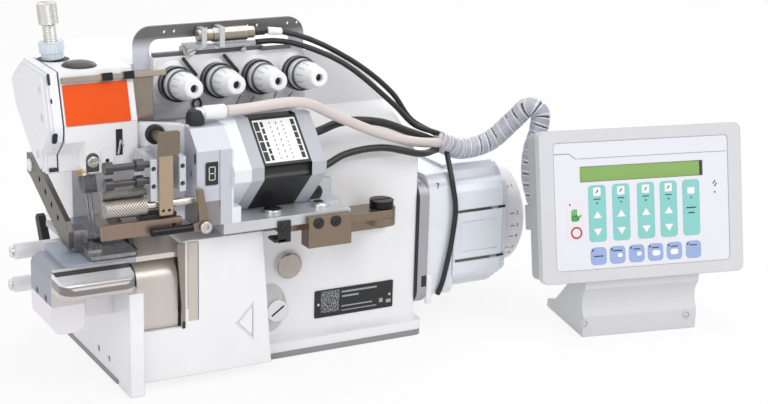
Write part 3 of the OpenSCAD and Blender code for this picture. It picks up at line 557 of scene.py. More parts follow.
def pick(test):
    """Selects the points of the shape being edited that the test accepts."""
    bpy.ops.mesh.select_mode(type="VERT")
    mesh = bmesh.from_edit_mesh(bpy.context.object.data)
    for point in mesh.verts:
        point.select_set(test(point.co))
    mesh.select_flush_mode()
    bmesh.update_edit_mesh(bpy.context.object.data)


def draw_up(height):
    """Extrudes what is selected along +Z."""
    bpy.ops.mesh.extrude_region_move(TRANSFORM_OT_translate={"value": (0, 0, height * MM)})


def leave():
    """Ends editing and gives the shape."""
    bpy.ops.object.mode_set(mode="OBJECT")
    return bpy.context.object


def leave_outward():
    """Turns all faces outwards and ends editing."""
    bpy.ops.mesh.select_all(action="SELECT")
    bpy.ops.mesh.normals_make_consistent(inside=False)
    return leave()


def block(size, at=(0, 0, 0), soft=0.4, segments=2):
    """A cuboid with eased edges: its size and middle."""
    begin()
    bpy.ops.mesh.primitive_cube_add(size=1, location=Vector(at) * MM, scale=Vector(size) * MM)
    bpy.ops.object.transform_apply()
    edit_all()
    bpy.ops.mesh.bevel(offset=soft * MM, segments=segments, affect="EDGES")
    return leave()


def tile(width, height, thick, corner=0.0, arched=False):
    """A thin plate with round corners, or only round at its top, lying on its back at the origin."""
    begin()
    bpy.ops.mesh.primitive_plane_add(size=1)
    bpy.context.object.scale = (width * MM, height * MM, 1)
    bpy.ops.object.transform_apply()
    edit_all()
    if arched:
        pick(lambda at: at.y > 0)
    if corner:
        bpy.ops.mesh.bevel(offset=corner * MM, segments=CORNER_STEPS, affect="VERTICES")
        bpy.ops.mesh.select_all(action="SELECT")
    draw_up(thick)
    return leave_outward()


def turned(steps, sides=32):
    """A round piece drawn up from its foot along +Z: steps of radius and height."""
    begin()
    r, z = steps[0]
    bpy.ops.mesh.primitive_circle_add(vertices=sides, radius=r * MM, fill_type="NGON", location=(0, 0, z * MM))
    bpy.ops.object.transform_apply()
    edit_all()
    for wide, high in steps[1:]:
        draw_up(high - z)
        if wide != r:
            bpy.ops.transform.resize(value=(wide / r, wide / r, 1), center_override=(0, 0, high * MM))
        r, z = wide, high
    return leave_outward()


def carve(piece, *cutters):
    """Cuts other shapes out of a piece."""
    for cutter in cutters:
        only(piece)
        cut = piece.modifiers.new("cut", "BOOLEAN")
        cut.operation, cut.solver, cut.object = "DIFFERENCE", "EXACT", cutter
        bpy.ops.object.modifier_apply(modifier=cut.name)
        bpy.data.objects.remove(cutter)
    return piece


def put(obj, place):
    """Moves a shape to its place, into its mesh."""
    only(obj)
    obj.matrix_world = place
    bpy.ops.object.transform_apply()
    return obj


def copies(obj, places):
    """A copy of a shape, with its own mesh, at each place."""
    made = []
    for place in places:
        twin = obj.copy()
        twin.data = obj.data.copy()
        bpy.context.scene.collection.objects.link(twin)
        made.append(put(twin, place))
    bpy.data.objects.remove(obj)
    return made


def tiles(thick, *rows):
    """Thin plates of one thickness: rows of width, height, corner and places."""
    return [made for width, height, corner, places in rows
            for made in copies(tile(width, height, thick, corner), places)]


def joined(parts):
    """One shape made of several."""
    only(parts[0])
    for part in parts[1:]:
        part.select_set(True)
    bpy.ops.object.join()
    return bpy.context.object


def settle(made, name, body, finish, angle=35):
    """Names a finished piece, or joins its parts first, gives it its finish and lets it ride on its body."""
    obj = joined(made) if isinstance(made, list) else made
    obj.name = obj.data.name = name
    only(obj)
    bpy.ops.object.shade_smooth_by_angle(angle=math.radians(angle))
    obj.data.materials.clear()
    obj.data.materials.append(FINISHES[finish])
    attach(obj, body)


def numeral(number, height, thick=0.15):
    """A number as a thin plate, centred on the origin."""
    begin()
    bpy.ops.object.text_add()
    words = bpy.context.object
    words.data.body, words.data.size = str(number), height * 1.4 * MM
    words.data.align_x, words.data.align_y = "CENTER", "CENTER"
    words.data.extrude = thick * MM
    words.data.resolution_u = 3
    bpy.ops.object.convert(target="MESH")
    return bpy.context.object


def screw_head(radius, height, slot, sides=28):
    """A screw head with an eased rim and a slot of a given width."""
    made = turned([(radius, 0), (radius, height * 0.7), (radius * 0.86, height)], sides)
    return carve(made, block((radius * 2.4, slot, height), (0, 0, height), 0.02, 1))


def rod(a, b, radius, sides=16):
    """A rod with eased ends between two places."""
    length, ease = (b - a).length / MM, radius * 0.25
    made = turned([(radius - ease, 0), (radius, ease), (radius, length - ease), (radius - ease, length)], sides)
    up = INWARD if abs((b - a).normalized().z) > 0.9 else UP
    return put(made, facing(a, b - a, up))


def strip(a, b, width, thick, normal=FRONT, corner=0.0):
    """A thin strip from one place to another on a face."""
    return put(tile(width, (b - a).length / MM, thick, corner), facing((a + b) / 2, normal, b - a))


# Cables: radius and route in mm

ROUTES = {
    "wrapped_bundle": (8.3, [(159, -50, 152.5), (181, -49, 143.6), (206.4, -52, 147.8), (226, -61, 167.5),
                             (235.5, -68, 178.5), (242.5, -71.5, 174.5), (242, -73.5, 161), (235.5, -75, 143),
                             (231.5, -80, 124), (233.9, -87.2, 101.7)]),
    "sleeve_cable": (4, [(-46.2, -89, 206), (-36, -89, 206), (17, -90, 206.5), (49, -81, 191), (86, -77, 174),
                         (126, -69, 160), (158.6, -54.2, 152.2)]),
    "motor_cable": (3.3, [(23.4, -71, 176), (35.4, -71, 177), (59, -68, 182), (93, -66, 179), (126, -59, 166),
                          (158, -46, 151.9)]),
    "signal_cable": (2.8, [(23.4, -81, 150), (35.4, -81, 151), (59, -76, 158), (93, -75, 160), (126, -76, 152),
                           (158, -51.5, 146)]),
    "sensor_cable_1": (2.2, [(0, -36, 252), (11, -36, 252), (79, -43, 226), (116, -49, 196), (137, -45, 171),
                             (158.6, -45.8, 158.2)]),
    "sensor_cable_2": (2.2, [(3.5, -31, 242.7), (19, -32.5, 242.9), (61, -47, 230), (113, -57, 189),
                             (137, -51.5, 168), (158.6, -51, 159.4)]),
    "servo_cable": (2.2, [(153.8, -67.7, 26.5), (155.2, -70.3, 34), (160, -70.8, 54), (164.4, -70.8, 79),
                          (166, -70.8, 99), (163, -68.6, 123), (165, -54.5, 144.5)]),
}
CABLE_STEPS, CABLE_SIDES = 6, 16
WRAP_STEPS, WRAP_SIDES, WRAP_PATH_STEPS = 48, 40, 4
WRAP_START, WRAP_TAPER, WRAP_GAP, WRAP_SUNK = 1.04, 0.12, 0.88, 0.9
FIRST_SIDE = (0.31, -0.93, 0.2)


def line_of(route, steps):
    """Points along the smooth line through a route, in metres."""
    p = [Vector(q) * MM for q in route]
    d = [(b - a).length for a, b in zip(p, p[1:])]
    heading = [(p[1] - p[0]) / d[0]]
    for i in range(1, len(p) - 1):
        ahead, behind = (p[i + 1] - p[i]) * d[i - 1] / d[i], (p[i] - p[i - 1]) * d[i] / d[i - 1]
        heading.append((ahead + behind) / (d[i - 1] + d[i]))
    heading.append((p[-1] - p[-2]) / d[-1])
    line = []
    for i in range(len(p) - 1):
        for s in range(steps):
            t = s / steps
            u = t * t * (3 - 2 * t)
            line.append((1 - u) * p[i] + u * p[i + 1]
                        + t * (1 - t) * d[i] * ((1 - t) * heading[i] - t * heading[i + 1]))
    return line + [p[-1]]


def tube(name, line, radius, sides, wrap=None):
    """A closed tube along a line. With wrap, it tapers and sinks in the gaps of a spiral of that pitch."""
    mesh = bmesh.new()
    turn = mesh.verts.layers.float.new("turn")
    rings, side, run = [], Vector(FIRST_SIDE), 0.0
    for k, at in enumerate(line):
        ahead = (line[min(k + 1, len(line) - 1)] - line[max(k - 1, 0)]).normalized()
        side = (side - ahead * side.dot(ahead)).normalized()
        over = ahead.cross(side)
        run += (at - line[k - 1]).length if k else 0.0
        ring = []
        for s in range(sides):
            angle = 2 * math.pi * s / sides
            part = (run / wrap + s / sides) % 1.0 if wrap else 0.0
            reach = radius * (WRAP_START - WRAP_TAPER * k / len(line)) if wrap else radius
            reach *= WRAP_SUNK if part > WRAP_GAP else 1.0
            vert = mesh.verts.new(at + reach * (math.cos(angle) * side + math.sin(angle) * over))
            vert[turn] = part
            ring.append(vert)
        rings.append(ring)
    for a, b in zip(rings, rings[1:]):
        for s in range(sides):
            mesh.faces.new((a[s], a[(s + 1) % sides], b[(s + 1) % sides], b[s]))
    mesh.faces.new(list(reversed(rings[0])))
    mesh.faces.new(rings[-1])
    bmesh.ops.recalc_face_normals(mesh, faces=mesh.faces)
    data = bpy.data.meshes.new(name)
    mesh.to_mesh(data)
    mesh.free()
    obj = bpy.data.objects.new(name + "_run", data)
    bpy.context.scene.collection.objects.link(obj)
    for face in data.polygons:
        face.use_smooth = True
    return obj


# Sizes and colours a user would change

class OverlockColours(bpy.types.PropertyGroup):
    """Colours of the machine's main finishes."""

    casting: bpy.props.FloatVectorProperty(
        name="Castings", description="Paint of the cast body", subtype="COLOR", size=4, default=lin(248, 247, 249))
    covers: bpy.props.FloatVectorProperty(
        name="Covers", description="Paint of the end cover", subtype="COLOR", size=4, default=lin(244, 244, 250))
    badge: bpy.props.FloatVectorProperty(
        name="Badge", description="Paint of the bare badge", subtype="COLOR", size=4, default=lin(240, 86, 12))
    sheet: bpy.props.FloatVectorProperty(
        name="Sheet", description="Carrying handle's sheet", subtype="COLOR", size=4, default=lin(222, 222, 234))
    nickel: bpy.props.FloatVectorProperty(
        name="Nickel", description="Warm plated steel", subtype="COLOR", size=4, default=lin(137, 121, 106))
    panel: bpy.props.FloatVectorProperty(
        name="Panel", description="Operator panel's plastic", subtype="COLOR", size=4, default=lin(216, 216, 220))


class OverlockSizes(bpy.types.PropertyGroup):
    """Sizes of the small fittings."""

    wrap_pitch: bpy.props.FloatProperty(
        name="Wrap pitch", description="Length of one turn of the spiral wrap", unit="LENGTH", default=0.0084)
    key_height: bpy.props.FloatProperty(
        name="Key height", description="Height of the printed keys over the overlay", unit="LENGTH", default=0.00012)
    lens: bpy.props.FloatProperty(
        name="Lens", description="Focal length of the camera", unit="CAMERA", default=81.5625)
    lamp: bpy.props.FloatProperty(
        name="Lamp", description="Power of the main lamp", unit="POWER", default=18.0)


# The camera's angles in degrees and place in mm, and the lamps' places, sizes and shares of power

VIEW_AROUND, VIEW_ABOVE, VIEW_ROLL = -29, 16.7, 1.64
CAMERA_AT, SENSOR = (-546.8, -1235.5, 512.9), 36.0
LAMP_AIM = (0.07, -0.05, 0.1)
LAMPS = {
    "key": ((0.75, -1.5, 1.7), 1.3, 1.0),
    "fill": ((-1.5, -1.1, 0.9), 1.4, 0.45),
    "crown": ((0.1, 0.3, 1.9), 1.6, 0.7),
    "rim": ((1.3, 1.2, 1.0), 1.2, 0.35),
}
WHITE = (1, 1, 1, 1)
FLOOR_GLOW = 0.86


class OVERLOCK_OT_stage(bpy.types.Operator):
    """Camera, lamps and floor"""

    bl_idname = "overlock.stage"
    bl_label = "Stage"

    def execute(self, context):
        sizes = context.scene.overlock_sizes
        around, above, roll = (math.radians(a) for a in (VIEW_AROUND, VIEW_ABOVE, VIEW_ROLL))
        back = Vector((math.sin(around) * math.cos(above), -math.cos(around) * math.cos(above), math.sin(above)))
        side = Vector(UP).cross(back).normalized()
        up = back.cross(side)
        side, up = side * math.cos(roll) + up * math.sin(roll), up * math.cos(roll) - side * math.sin(roll)
        begin()
        bpy.ops.object.camera_add()
        camera = context.object
        place = Matrix((side, up, back)).transposed().to_4x4()
        place.translation = Vector(CAMERA_AT) * MM
        camera.matrix_world = place
        camera.data.lens, camera.data.sensor_width = sizes.lens, SENSOR
        camera.data.clip_start, camera.data.clip_end = 0.01, 50.0
        context.scene.camera = camera
        for name, (at, size, power) in LAMPS.items():
            bpy.ops.object.light_add(type="AREA", location=at)
            lamp = context.object
            lamp.name, lamp.data.size, lamp.data.energy = name, size, sizes.lamp * power
            lamp.rotation_euler = (Vector(LAMP_AIM) - Vector(at)).to_track_quat("-Z", "Y").to_euler()
        world = context.scene.world or bpy.data.worlds.new("studio")
        context.scene.world = world
        world.use_nodes = True
        sky = Wiring(world.node_tree)
        light = sky.node("Background", values={"Color": WHITE, "Strength": sky.seen() * 0.5 + 0.5})
        sky.node("OutputWorld", values={"Surface": light})
        room = Finish("floor")
        pale = room.mix(room.noise(3.0), lin(238, 238, 238), lin(242, 242, 242))
        matt = room.node("BsdfDiffuse", values={"Color": pale})
        glow = room.node("Emission", values={"Color": WHITE, "Strength": 1.0})
        mixed = room.node("MixShader", values={0: room.seen() * FLOOR_GLOW, 1: matt, 2: glow})
        room.node("OutputMaterial", values={"Surface": mixed})
        begin()
        bpy.ops.mesh.primitive_plane_add(size=14, location=(0.1, 2, -0.0004))
        floor = context.object
        bpy.ops.object.transform_apply()
        floor.name = "floor"
        floor.data.materials.append(room.material)
        context.scene.view_settings.view_transform = "Standard"
        return {"FINISHED"}


class OVERLOCK_OT_cables(bpy.types.Operator):
    """Cables and the wrapped bundle"""

    bl_idname = "overlock.cables"
    bl_label = "Cables"

    def execute(self, context):
        sizes = context.scene.overlock_sizes
        for name, (radius, route) in ROUTES.items():
            if name == "wrapped_bundle":
                finish, line, path = "wrap", line_of(route, WRAP_STEPS), line_of(route, WRAP_PATH_STEPS)
                obj = tube(name, line, radius * MM, WRAP_SIDES, sizes.wrap_pitch)
            else:
                finish = "sleeve" if name == "sleeve_cable" else "cable"
                line = path = line_of(route, CABLE_STEPS)
                obj = tube(name, line, radius * MM, CABLE_SIDES)
            obj.data.materials.append(FINISHES[finish])
            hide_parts(name)
            length = sum((b - a).length for a, b in zip(path, path[1:]))
            if name in ("sleeve_cable", "motor_cable", "signal_cable"):
                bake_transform(obj)
            else:
                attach(obj, "frame")
        return {"FINISHED"}


class OVERLOCK_OT_finishes(bpy.types.Operator):
    """Finishes of the solid parts"""

    bl_idname = "overlock.finishes"
    bl_label = "Finishes"

    def execute(self, context):
        finishes(context.scene.overlock_colours)
        for finish, names in NODE_FINISH.items():
            for name in names:
                NODES[name].data.materials.clear()
                NODES[name].data.materials.append(FINISHES[finish])
        return {"FINISHED"}


class OVERLOCK_OT_keypad(bpy.types.Operator):
    """Overlay, display and keys of the operator panel"""

    bl_idname = "overlock.keypad"
    bl_label = "Operator panel"

    def execute(self, context):
        rise = context.scene.overlock_sizes.key_height / MM
        sheet, ink = -0.35, 0.1
        over = sheet + rise
        teal = [-40.5, -19.4, 2.7, 23.1, 43.6]
        blue = [-40.5, -23.8, -6.7, 10.2, 27.2, 44.6]
        dials, last, tick = teal[:4], teal[4], spin(-38)
        overlay = tile(155, 103.6, 0.4, 2.6)
        carve(overlay, put(tile(109.8, 12.8, 2, 0.6), shift(-0.3, 25.75, -1)))
        settle(put(overlay, panel(0.25, 62, -0.75)), "panel_overlay", "frame", "overlay")
        glass = block((109.4, 12.2, 0.6), soft=0.15)
        settle(put(glass, panel(0, 87.75, -1.6)), "display_window", "frame", "lcd")
        keys = tiles(rise, (15.4, 46.2, 3.0, [panel(x, 55.5, sheet) for x in teal]))
        settle(keys, "teal_keys", "frame", "teal_key")
        keys = tiles(rise, (14.0, 14.4, 3.6, [panel(x, 20.7, sheet) for x in blue]))
        settle(keys, "blue_keys", "frame", "blue_key")
        white, flat = [], widen(1.0, 0.86)
        for x in dials:
            arrow = turned([(4.6, 0), (4.6, ink)], 3)
            white += copies(arrow, [panel(x, 53.6, over) @ flat, panel(x, 41.2, over) @ spin(180) @ flat])
            white += tiles(ink, (6.6, 7.0, 0.8, [panel(x, 73.2, over)]))
        white += tiles(
            ink,
            (6.6, 5.6, 0.8, [panel(last, 69.5, over)]),
            (4.4, 3.4, 1.4, [panel(x + 2.2, 20.4, over) for x in blue[1:3]]),
            (7.4, 4.8, 2.2, [panel(x, 20.0, over) for x in (10.8, 27.2)]))
        settle(white, "white_marks", "frame", "white_mark")
        dots = [panel(x, 63.9, over) for x in teal] + [panel(-64.5, 63.9, sheet), panel(65.4, 67.0, sheet)]
        dark = copies(turned([(0.75, 0), (0.75, ink)], 12), dots)
        dark += tiles(
            ink,
            (1.5, 1.5, 0.3, [panel(x - 5.0, 25.6, over) for x in blue]),
            (8.4, 0.9, 0.2, [panel(-40.5, 20.6, over), panel(-23.8, 24.2, over)]),
            (6.0, 0.8, 0.2, [panel(x, 67.2, over) for x in dials]),
            (6.4, 0.8, 0.2, [panel(x, 24.4, over) for x in blue[2:]]),
            (9.0, 1.0, 0.2, [panel(last, 55.4, over)]),
            (5.6, 1.0, 0.2, [panel(last, 51.2, over)]),
            (2.2, 12.0, 0.0, [panel(53.4, 87.75, -1.28)]),
            (1.0, 3.4, 0.2, [panel(65.0, 75.4, sheet) @ tick, panel(66.2, 73.2, sheet) @ tick]),
            (0.9, 3.2, 0.2, [panel(x, 73.4, over + ink) @ tick for x in dials]))
        settle(dark, "dark_marks", "frame", "dark_mark")
        palm = tiles(
            0.12,
            (6.6, 5.0, 1.6, [panel(-60.2, 52.6, sheet)]),
            (1.3, 6.4, 0.6, [panel(x, h, sheet) for x, h in ((-62.6, 56.2), (-60.9, 57.2), (-59.2, 56.8))]),
            (1.3, 5.2, 0.6, [panel(-56.4, 53.2, sheet) @ spin(-40)]))
        settle(palm, "hand_mark", "frame", "green_mark")
        ring = carve(turned([(5.0, 0), (5.0, 0.14)]), turned([(3.6, -1), (3.6, 1)]))
        settle(put(ring, panel(-59.3, 40.8, sheet)), "ring_mark", "frame", "red_mark")
        lines = tiles(
            ink,
            (134, 0.5, 0.1, [panel(10, 100.6, sheet)]),
            (13.2, 0.7, 0.1, [panel(-70.8, 105.0, sheet)]),
            (7.6, 0.7, 0.1, [panel(-61.2, 102.8, sheet) @ tick]))
        settle(lines, "overlay_lines", "frame", "grey_mark")
        field = tile(14, 31, 0.08, 1.2)
        settle(put(field, panel(-60.5, 50.6, sheet - 0.04)), "mark_field", "frame", "pale_mark")
        return {"FINISHED"}


class OVERLOCK_OT_head(bpy.types.Operator):
    """Screws, slots and lens of the sewing head"""

    bl_idname = "overlock.head"
    bl_label = "Sewing head"

    def execute(self, context):
        slot = tile(5.1, 19.4, 0.2, 0.3)
        settle(put(slot, front(5.7, HEAD_FACE, 187.3)), "take_up_slot", "frame", "shadow")
        foot, peak, tip = (left(x, HEAD_FACE - 0.9, z) for x, z in ((4.6, 178.5), (6.4, 189), (8.6, 184)))
        settle([rod(foot, peak, 0.8), rod(peak, tip, 0.7)], "take_up_wire", "frame", "chrome")
        settle(put(tile(10.5, 20.4, 0.6, 5.1, arched=True), front(-3.4, HEAD_FACE, 176.4)),
               "arched_plate", "frame", "casting")
        holes = [put(turned([(1.5, 0), (1.5, 0.1)], 20), front(-3.8, HEAD_FACE - 0.6, 174.6))]
        holes += tiles(
            0.1,
            (2.2, 8.4, 1.0, [head(-42.6, 34.8, 0.02)]),
            (1.4, 3.4, 0.6, [head(-42.4, 19.3, 0.02)]),
            (4.0, 8.8, 1.9, [facing(left(-42.2, -9.8, 194.4), (0, -0.95, -0.31))]))
        settle(holes, "head_recesses", "frame", "shadow")
        pin = rod(left(-42.5, 4.4, 167.4), left(-36.6, 4.4, 167.4), 1.5)
        settle(pin, "stop_pin", "frame", "shadow")
        settle(put(tile(9.8, 14.2, 0.2, 4.8, arched=True), front(-14.8, HEAD_FACE, 174.1)),
               "screw_recess", "frame", "dark_steel")
        settle(put(screw_head(4.2, 2.6, 1.2), front(-14.8, HEAD_FACE - 0.2, 174.8) @ spin(8)),
               "face_screw", "frame", "steel")
        settle(put(turned([(12.4, 0), (11.4, 1.1), (8.6, 2.0), (4.6, 2.5)], 40), top(-14, 16.5, 240.6)),
               "oil_window_dome", "frame", "glass", 60)
        seat = carve(turned([(12, 0), (12, 0.06)], 40), turned([(6, -1), (6, 1)]))
        settle(put(seat, top(-24.5, 44, 240.02)), "nut_seat", "frame", "shadow")
        return {"FINISHED"}


class OVERLOCK_OT_tension(bpy.types.Operator):
    """Lobes, thread guides and sensor fittings behind the tension knobs"""

    bl_idname = "overlock.tension"
    bl_label = "Thread tension"

    def execute(self, context):
        lean = Vector(KNOB_AXIS)
        middles = [KNOB_AT + Vector((KNOB_PITCH * i, 0, 0)) * MM for i in range(KNOB_COUNT)]
        lobes = copies(turned([(17.0, 0), (17.0, 0.4), (16.4, 0.8)], 48), [facing(at, lean) for at in middles])
        trim = block((40, 60, 60), left(194, 31, 217) / MM, 0.5)
        settle(carve(joined(lobes), trim), "knob_lobes", "frame", "casting")
        lines = [((119.1, 29.6, 203.7), (114.5, 28.8, 196.2)), ((130.3, 29.4, 201.6), (124.7, 28.7, 195.2)),
                 ((149.4, 29.6, 203.5), (145.6, 28.7, 195)), ((163.6, 29.5, 202.8), (154.3, 28.5, 193.4))]
        proud = lean * 0.8 * MM
        seams = [strip(left(*a) + proud, left(*b) + proud, 0.6, 0.1, lean) for a, b in lines]
        settle(seams, "panel_seams", "frame", "shadow")
        lines = [((71.5, 33.5, 236), (82.5, 31.5, 221.5)), ((105, 33.5, 236), (117, 31.5, 221.5))]
        hooks = [strip(left(*a) + lean * 2 * MM, left(*b) + lean * 4 * MM, 2.6, 0.8, lean, 1.2) for a, b in lines]
        begin()
        bpy.ops.mesh.primitive_torus_add(
            major_radius=3.2 * MM, minor_radius=0.9 * MM, major_segments=24, minor_segments=10)
        edit_all()
        bpy.ops.transform.resize(value=(1.0, 1.3, 1.0))
        hooks.append(put(leave(), facing(left(82, 27.0, 200.5), lean)))
        hooks.append(rod(left(82, 27.0, 204), left(80.5, 30.5, 207), 1.0))
        settle(hooks, "thread_hooks", "frame", "rubber")
        bolts = [put(turned([(5.2, 0), (5.2, 1.2)], 28), front(78.5, 34, 241)),
                 put(screw_head(4.2, 4.2, 1.2, 6), front(78.5, 32.8, 241) @ spin(20)),
                 put(screw_head(2.6, 1.8, 0.7, 6), front(122.9, 33.6, 238.2))]
        settle(bolts, "sensor_bolts", "frame", "steel")
        settle(put(turned([(4.4, 0), (4.0, 1.4), (2.6, 2.4), (1.0, 2.7)], 28), front(169, 39, 234.8)),
               "handle_screw", "frame", "casting")
        rail = block((25, 3, 3.2), left(149, 30.6, 238.3) / MM)
        settle(rail, "guide_rail", "frame", "lip")
        line = line_of(ROUTES["sensor_cable_1"][1], CABLE_STEPS)
        gland = rod(line[0] - Vector((0.5, 0, 0)) * MM, line[5], 3.0, 20)
        settle(gland, "sensor_gland", "frame", "cable")
        settle(rod(line[6], line[7], 3.0, 20), "cable_marker", "frame", "white_mark")
        return {"FINISHED"}


class OVERLOCK_OT_bed(bpy.types.Operator):
    """Screws, painted shade in the end wall's holes, lens and strips of the bed and body"""

    bl_idname = "overlock.bed"
    bl_label = "Bed and body"

    def execute(self, context):
        # Dark discs of painted shade in the end wall's holes.
        hole_shades = copies(turned([(3.2, 0), (3.2, 0.4), (1.6, 0.5)], 20),
                       [end(1.6, y, z) for y, z in ((15, 60), (2, 60), (27, 15), (4, 15), (113, 17))])
        settle(hole_shades, "wall_hole_shade", "frame", "shadow")
        tips = copies(screw_head(4.6, 1.6, 0.9), [end(-57, 55, 92) @ spin(30), end(-57, 60, 64) @ spin(-20)])
        settle(tips, "pin_screws", "frame", "chrome")
        scoop = turned([(15, 0), (15, 0.08), (14.6, 0.12)], 48)
        settle(put(scoop, front(131, 0, 37) @ widen(1.0, 1.35)), "oil_scoop", "frame", "scoop")
        settle(put(turned([(10.9, 0), (10.5, 0.6), (8.2, 1.6), (4.2, 2.2)], 36), front(147, -3, 71)),
               "sight_lens", "frame", "lens", 60)
        slot = put(tile(13, 1.5, 0.1, 0.3), front(138, -2, 34) @ spin(35))
        settle(slot, "plug_slot", "frame", "shadow")
        self.name_plate(-0.8)
        self.cover(-33)
        return {"FINISHED"}

    def name_plate(self, face):
        """Rivets and generic print."""
        rivets = copies(turned([(1.3, 0), (1.0, 0.4), (0.4, 0.5)], 16), [front(x, face, 33.2) for x in (174.2, 238.8)])
        settle(rivets, "plate_rivets", "frame", "steel")
        square = put(tile(16.4, 18.2, 0.06, 0.3), front(184.6, face, 34.8))
        settle(square, "plate_square", "frame", "speckle")
        rows = tiles(0.06, *((width, height, 0.2, [front(x, face, z)]) for x, z, width, height in (
            (211, 41.4, 32, 1.5), (203, 37.6, 15, 1.5), (209, 29.2, 28, 1.1),
            (211, 25.6, 32, 0.8), (231, 29, 3.4, 3.6), (238, 27.6, 4.4, 3))))
        settle(rows, "plate_rows", "frame", "grey_mark")

    def cover(self, face):
        """Channel, a tapered band of painted shade along the curved left edge, and finger grip of the hinged cover."""
        channel = strip(left(53.4, face + 1, 50), left(53.4, face + 1, 111.5), 7.6, 1.12, corner=0.4)
        settle(channel, "cover_channel", "cover", "beige")
        # A tapered band of painted shade along the cover's curved left edge.
        tile(6.4, 63, 0.8)
        edit_all()
        pick(lambda at: at.y < 0)
        bpy.ops.transform.resize(value=(0.3, 1, 1), center_override=(3.2 * MM, 0, 0))
        settle(put(leave(), front(43.6, face, 80.5)), "cover_side_shade", "cover", "edge_shade")
        dark = [strip(left(57.6, face, 50), left(57.6, face, 111.5), 0.5, 0.06),
                strip(left(45.7, face, 45), left(45.7, face, 50.5), 2.2, 0.9)]
        settle(dark, "cover_lines", "cover", "shadow")
        grip = carve(turned([(18.2, 0), (18.2, 0.15), (16.8, 0.45)], 3), turned([(14.4, 0.1), (16.2, 1)], 3))
        grip = put(put(grip, spin(-30)), front(97.9, face, 42.5) @ widen(0.57, 1.0))
        settle(grip, "cover_grip", "cover", "casting")


class OVERLOCK_OT_feeder(bpy.types.Operator):
    """Screws, label, display and fittings of the metering feeder"""

    bl_idname = "overlock.feeder"
    bl_label = "Metering feeder"

    def execute(self, context):
        x, face, z = 62.8, -46.4, 166.8
        window = put(tile(9.6, 17.4, 0.7, 0.4), front(x, face, z))
        settle(window, "digit_window", "feeder", "shadow")
        bars = tiles(
            0.1,
            (0.6, 4.4, 0.0, [front(x + a, face - 0.7, z + b) for a in (-2.3, 2.3) for b in (-2.5, 2.5)]),
            (4.0, 0.6, 0.0, [front(x, face - 0.7, z + b) for b in (-4.9, 0, 4.9)]))
        settle(bars, "digit_bars", "feeder", "white_mark")
        lines = [strip(left(68.9, -47, 141), left(68.9, -47, 184), 0.35, 0.06)]
        lines += tiles(0.1, (3.0, 8.4, 1.4, [end(51, -43.4, 178)]), (1.5, 4.0, 0.6, [end(51, -36, 165)]))
        settle(lines, "housing_marks", "feeder", "shadow")
        settle(put(turned([(6.9, 0), (6.9, 5), (6.5, 8.4), (5.2, 11.4), (3, 12.6)], 28), top(60, -22, 197)),
               "gland_cap", "feeder", "rubber")
        boot = rod(left(65.6, -22, 206), left(84.2, -22, 206), 5.3, 24)
        settle(boot, "cable_boot", "feeder", "white_mark")
        self.label(facing(left(122.5, -35.15, 183.15), (0, -1, 1), (0, 1, 1)), 34.5)
        self.deck()
        ring = carve(turned([(7.2, 0), (7.2, 3.4), (6.4, 4.2)]), turned([(4.2, -1), (4.2, 6)], 28))
        settle(put(ring, front(31, -14.5, 192)), "rod_collar", "feeder", "rubber")
        settle(put(block((27, 12, 5.6), soft=0.5), top(23, -38, 137.4)), "guide_block", "feeder", "rubber")
        nut = carve(turned([(4.5, 0), (4.5, 2.4), (4.0, 3.0)], 28), turned([(2.2, 1.0), (2.2, 5)], 20))
        settle(put(nut, front(55, -52.6, 129)), "lever_nut", "feeder", "steel")
        return {"FINISHED"}

    def label(self, place, high):
        """The motor's label, with rows of generic marks over its height."""
        settle(put(tile(35, 37, 0.1, 0.6), place), "motor_label", "feeder", "white_mark")
        rows = [(-15, 3.8, 7.8, 4), (-10.6, 2.2, 4.6, 6), (14.6, 3.0, 5.0, 6),
                (-4, 0.6, 1.6, 9), (1, 0.6, 2.2, 7), (6, 0.6, 1.4, 10)]
        marks = tiles(0.06, *(
            (width, height, 0.0, [place @ shift(x, (k + 0.5) * high / count - high / 2, 0.1) for k in range(count)])
            for x, width, height, count in rows))
        settle(marks, "label_marks", "feeder", "shadow")

    def deck(self):
        """Washers and screws of the deck."""
        washers, side, face = (118, 158), -33, -53
        domes = copies(turned([(7.0, 0), (6.9, 2.6), (6.2, 3.2), (4.2, 3.6)]), [top(x, side, 127) for x in washers])
        settle(domes, "deck_washers", "feeder", "chrome")
        dark = copies(turned([(2.8, 0), (2.8, 0.1)], 6), [top(x, side, 130.6) for x in washers])
        dark += copies(screw_head(4.4, 0.9, 1.1),
                       [front(147, face, 120.2) @ spin(48), front(161.5, face, 120.2) @ spin(40)])
        dark += [put(block((10.6, 17, 2.0), soft=0.5), front(120.7, -48, 115.6)),
                 put(block((10.0, 12, 2.4), soft=0.4), top(117.4, -43, 109)),
                 put(screw_head(4.0, 1.0, 0.9), front(120.7, -49, 118.6) @ spin(45))]
        settle(dark, "deck_screws", "feeder", "rubber")
        cap = carve(turned([(6.3, 0), (6.3, 8.2), (5.7, 9.2)]), turned([(3.1, 8.5), (3.1, 12)], 6))
        settle(put(cap, front(160, -12, 134)), "stop_screw", "feeder", "rubber")


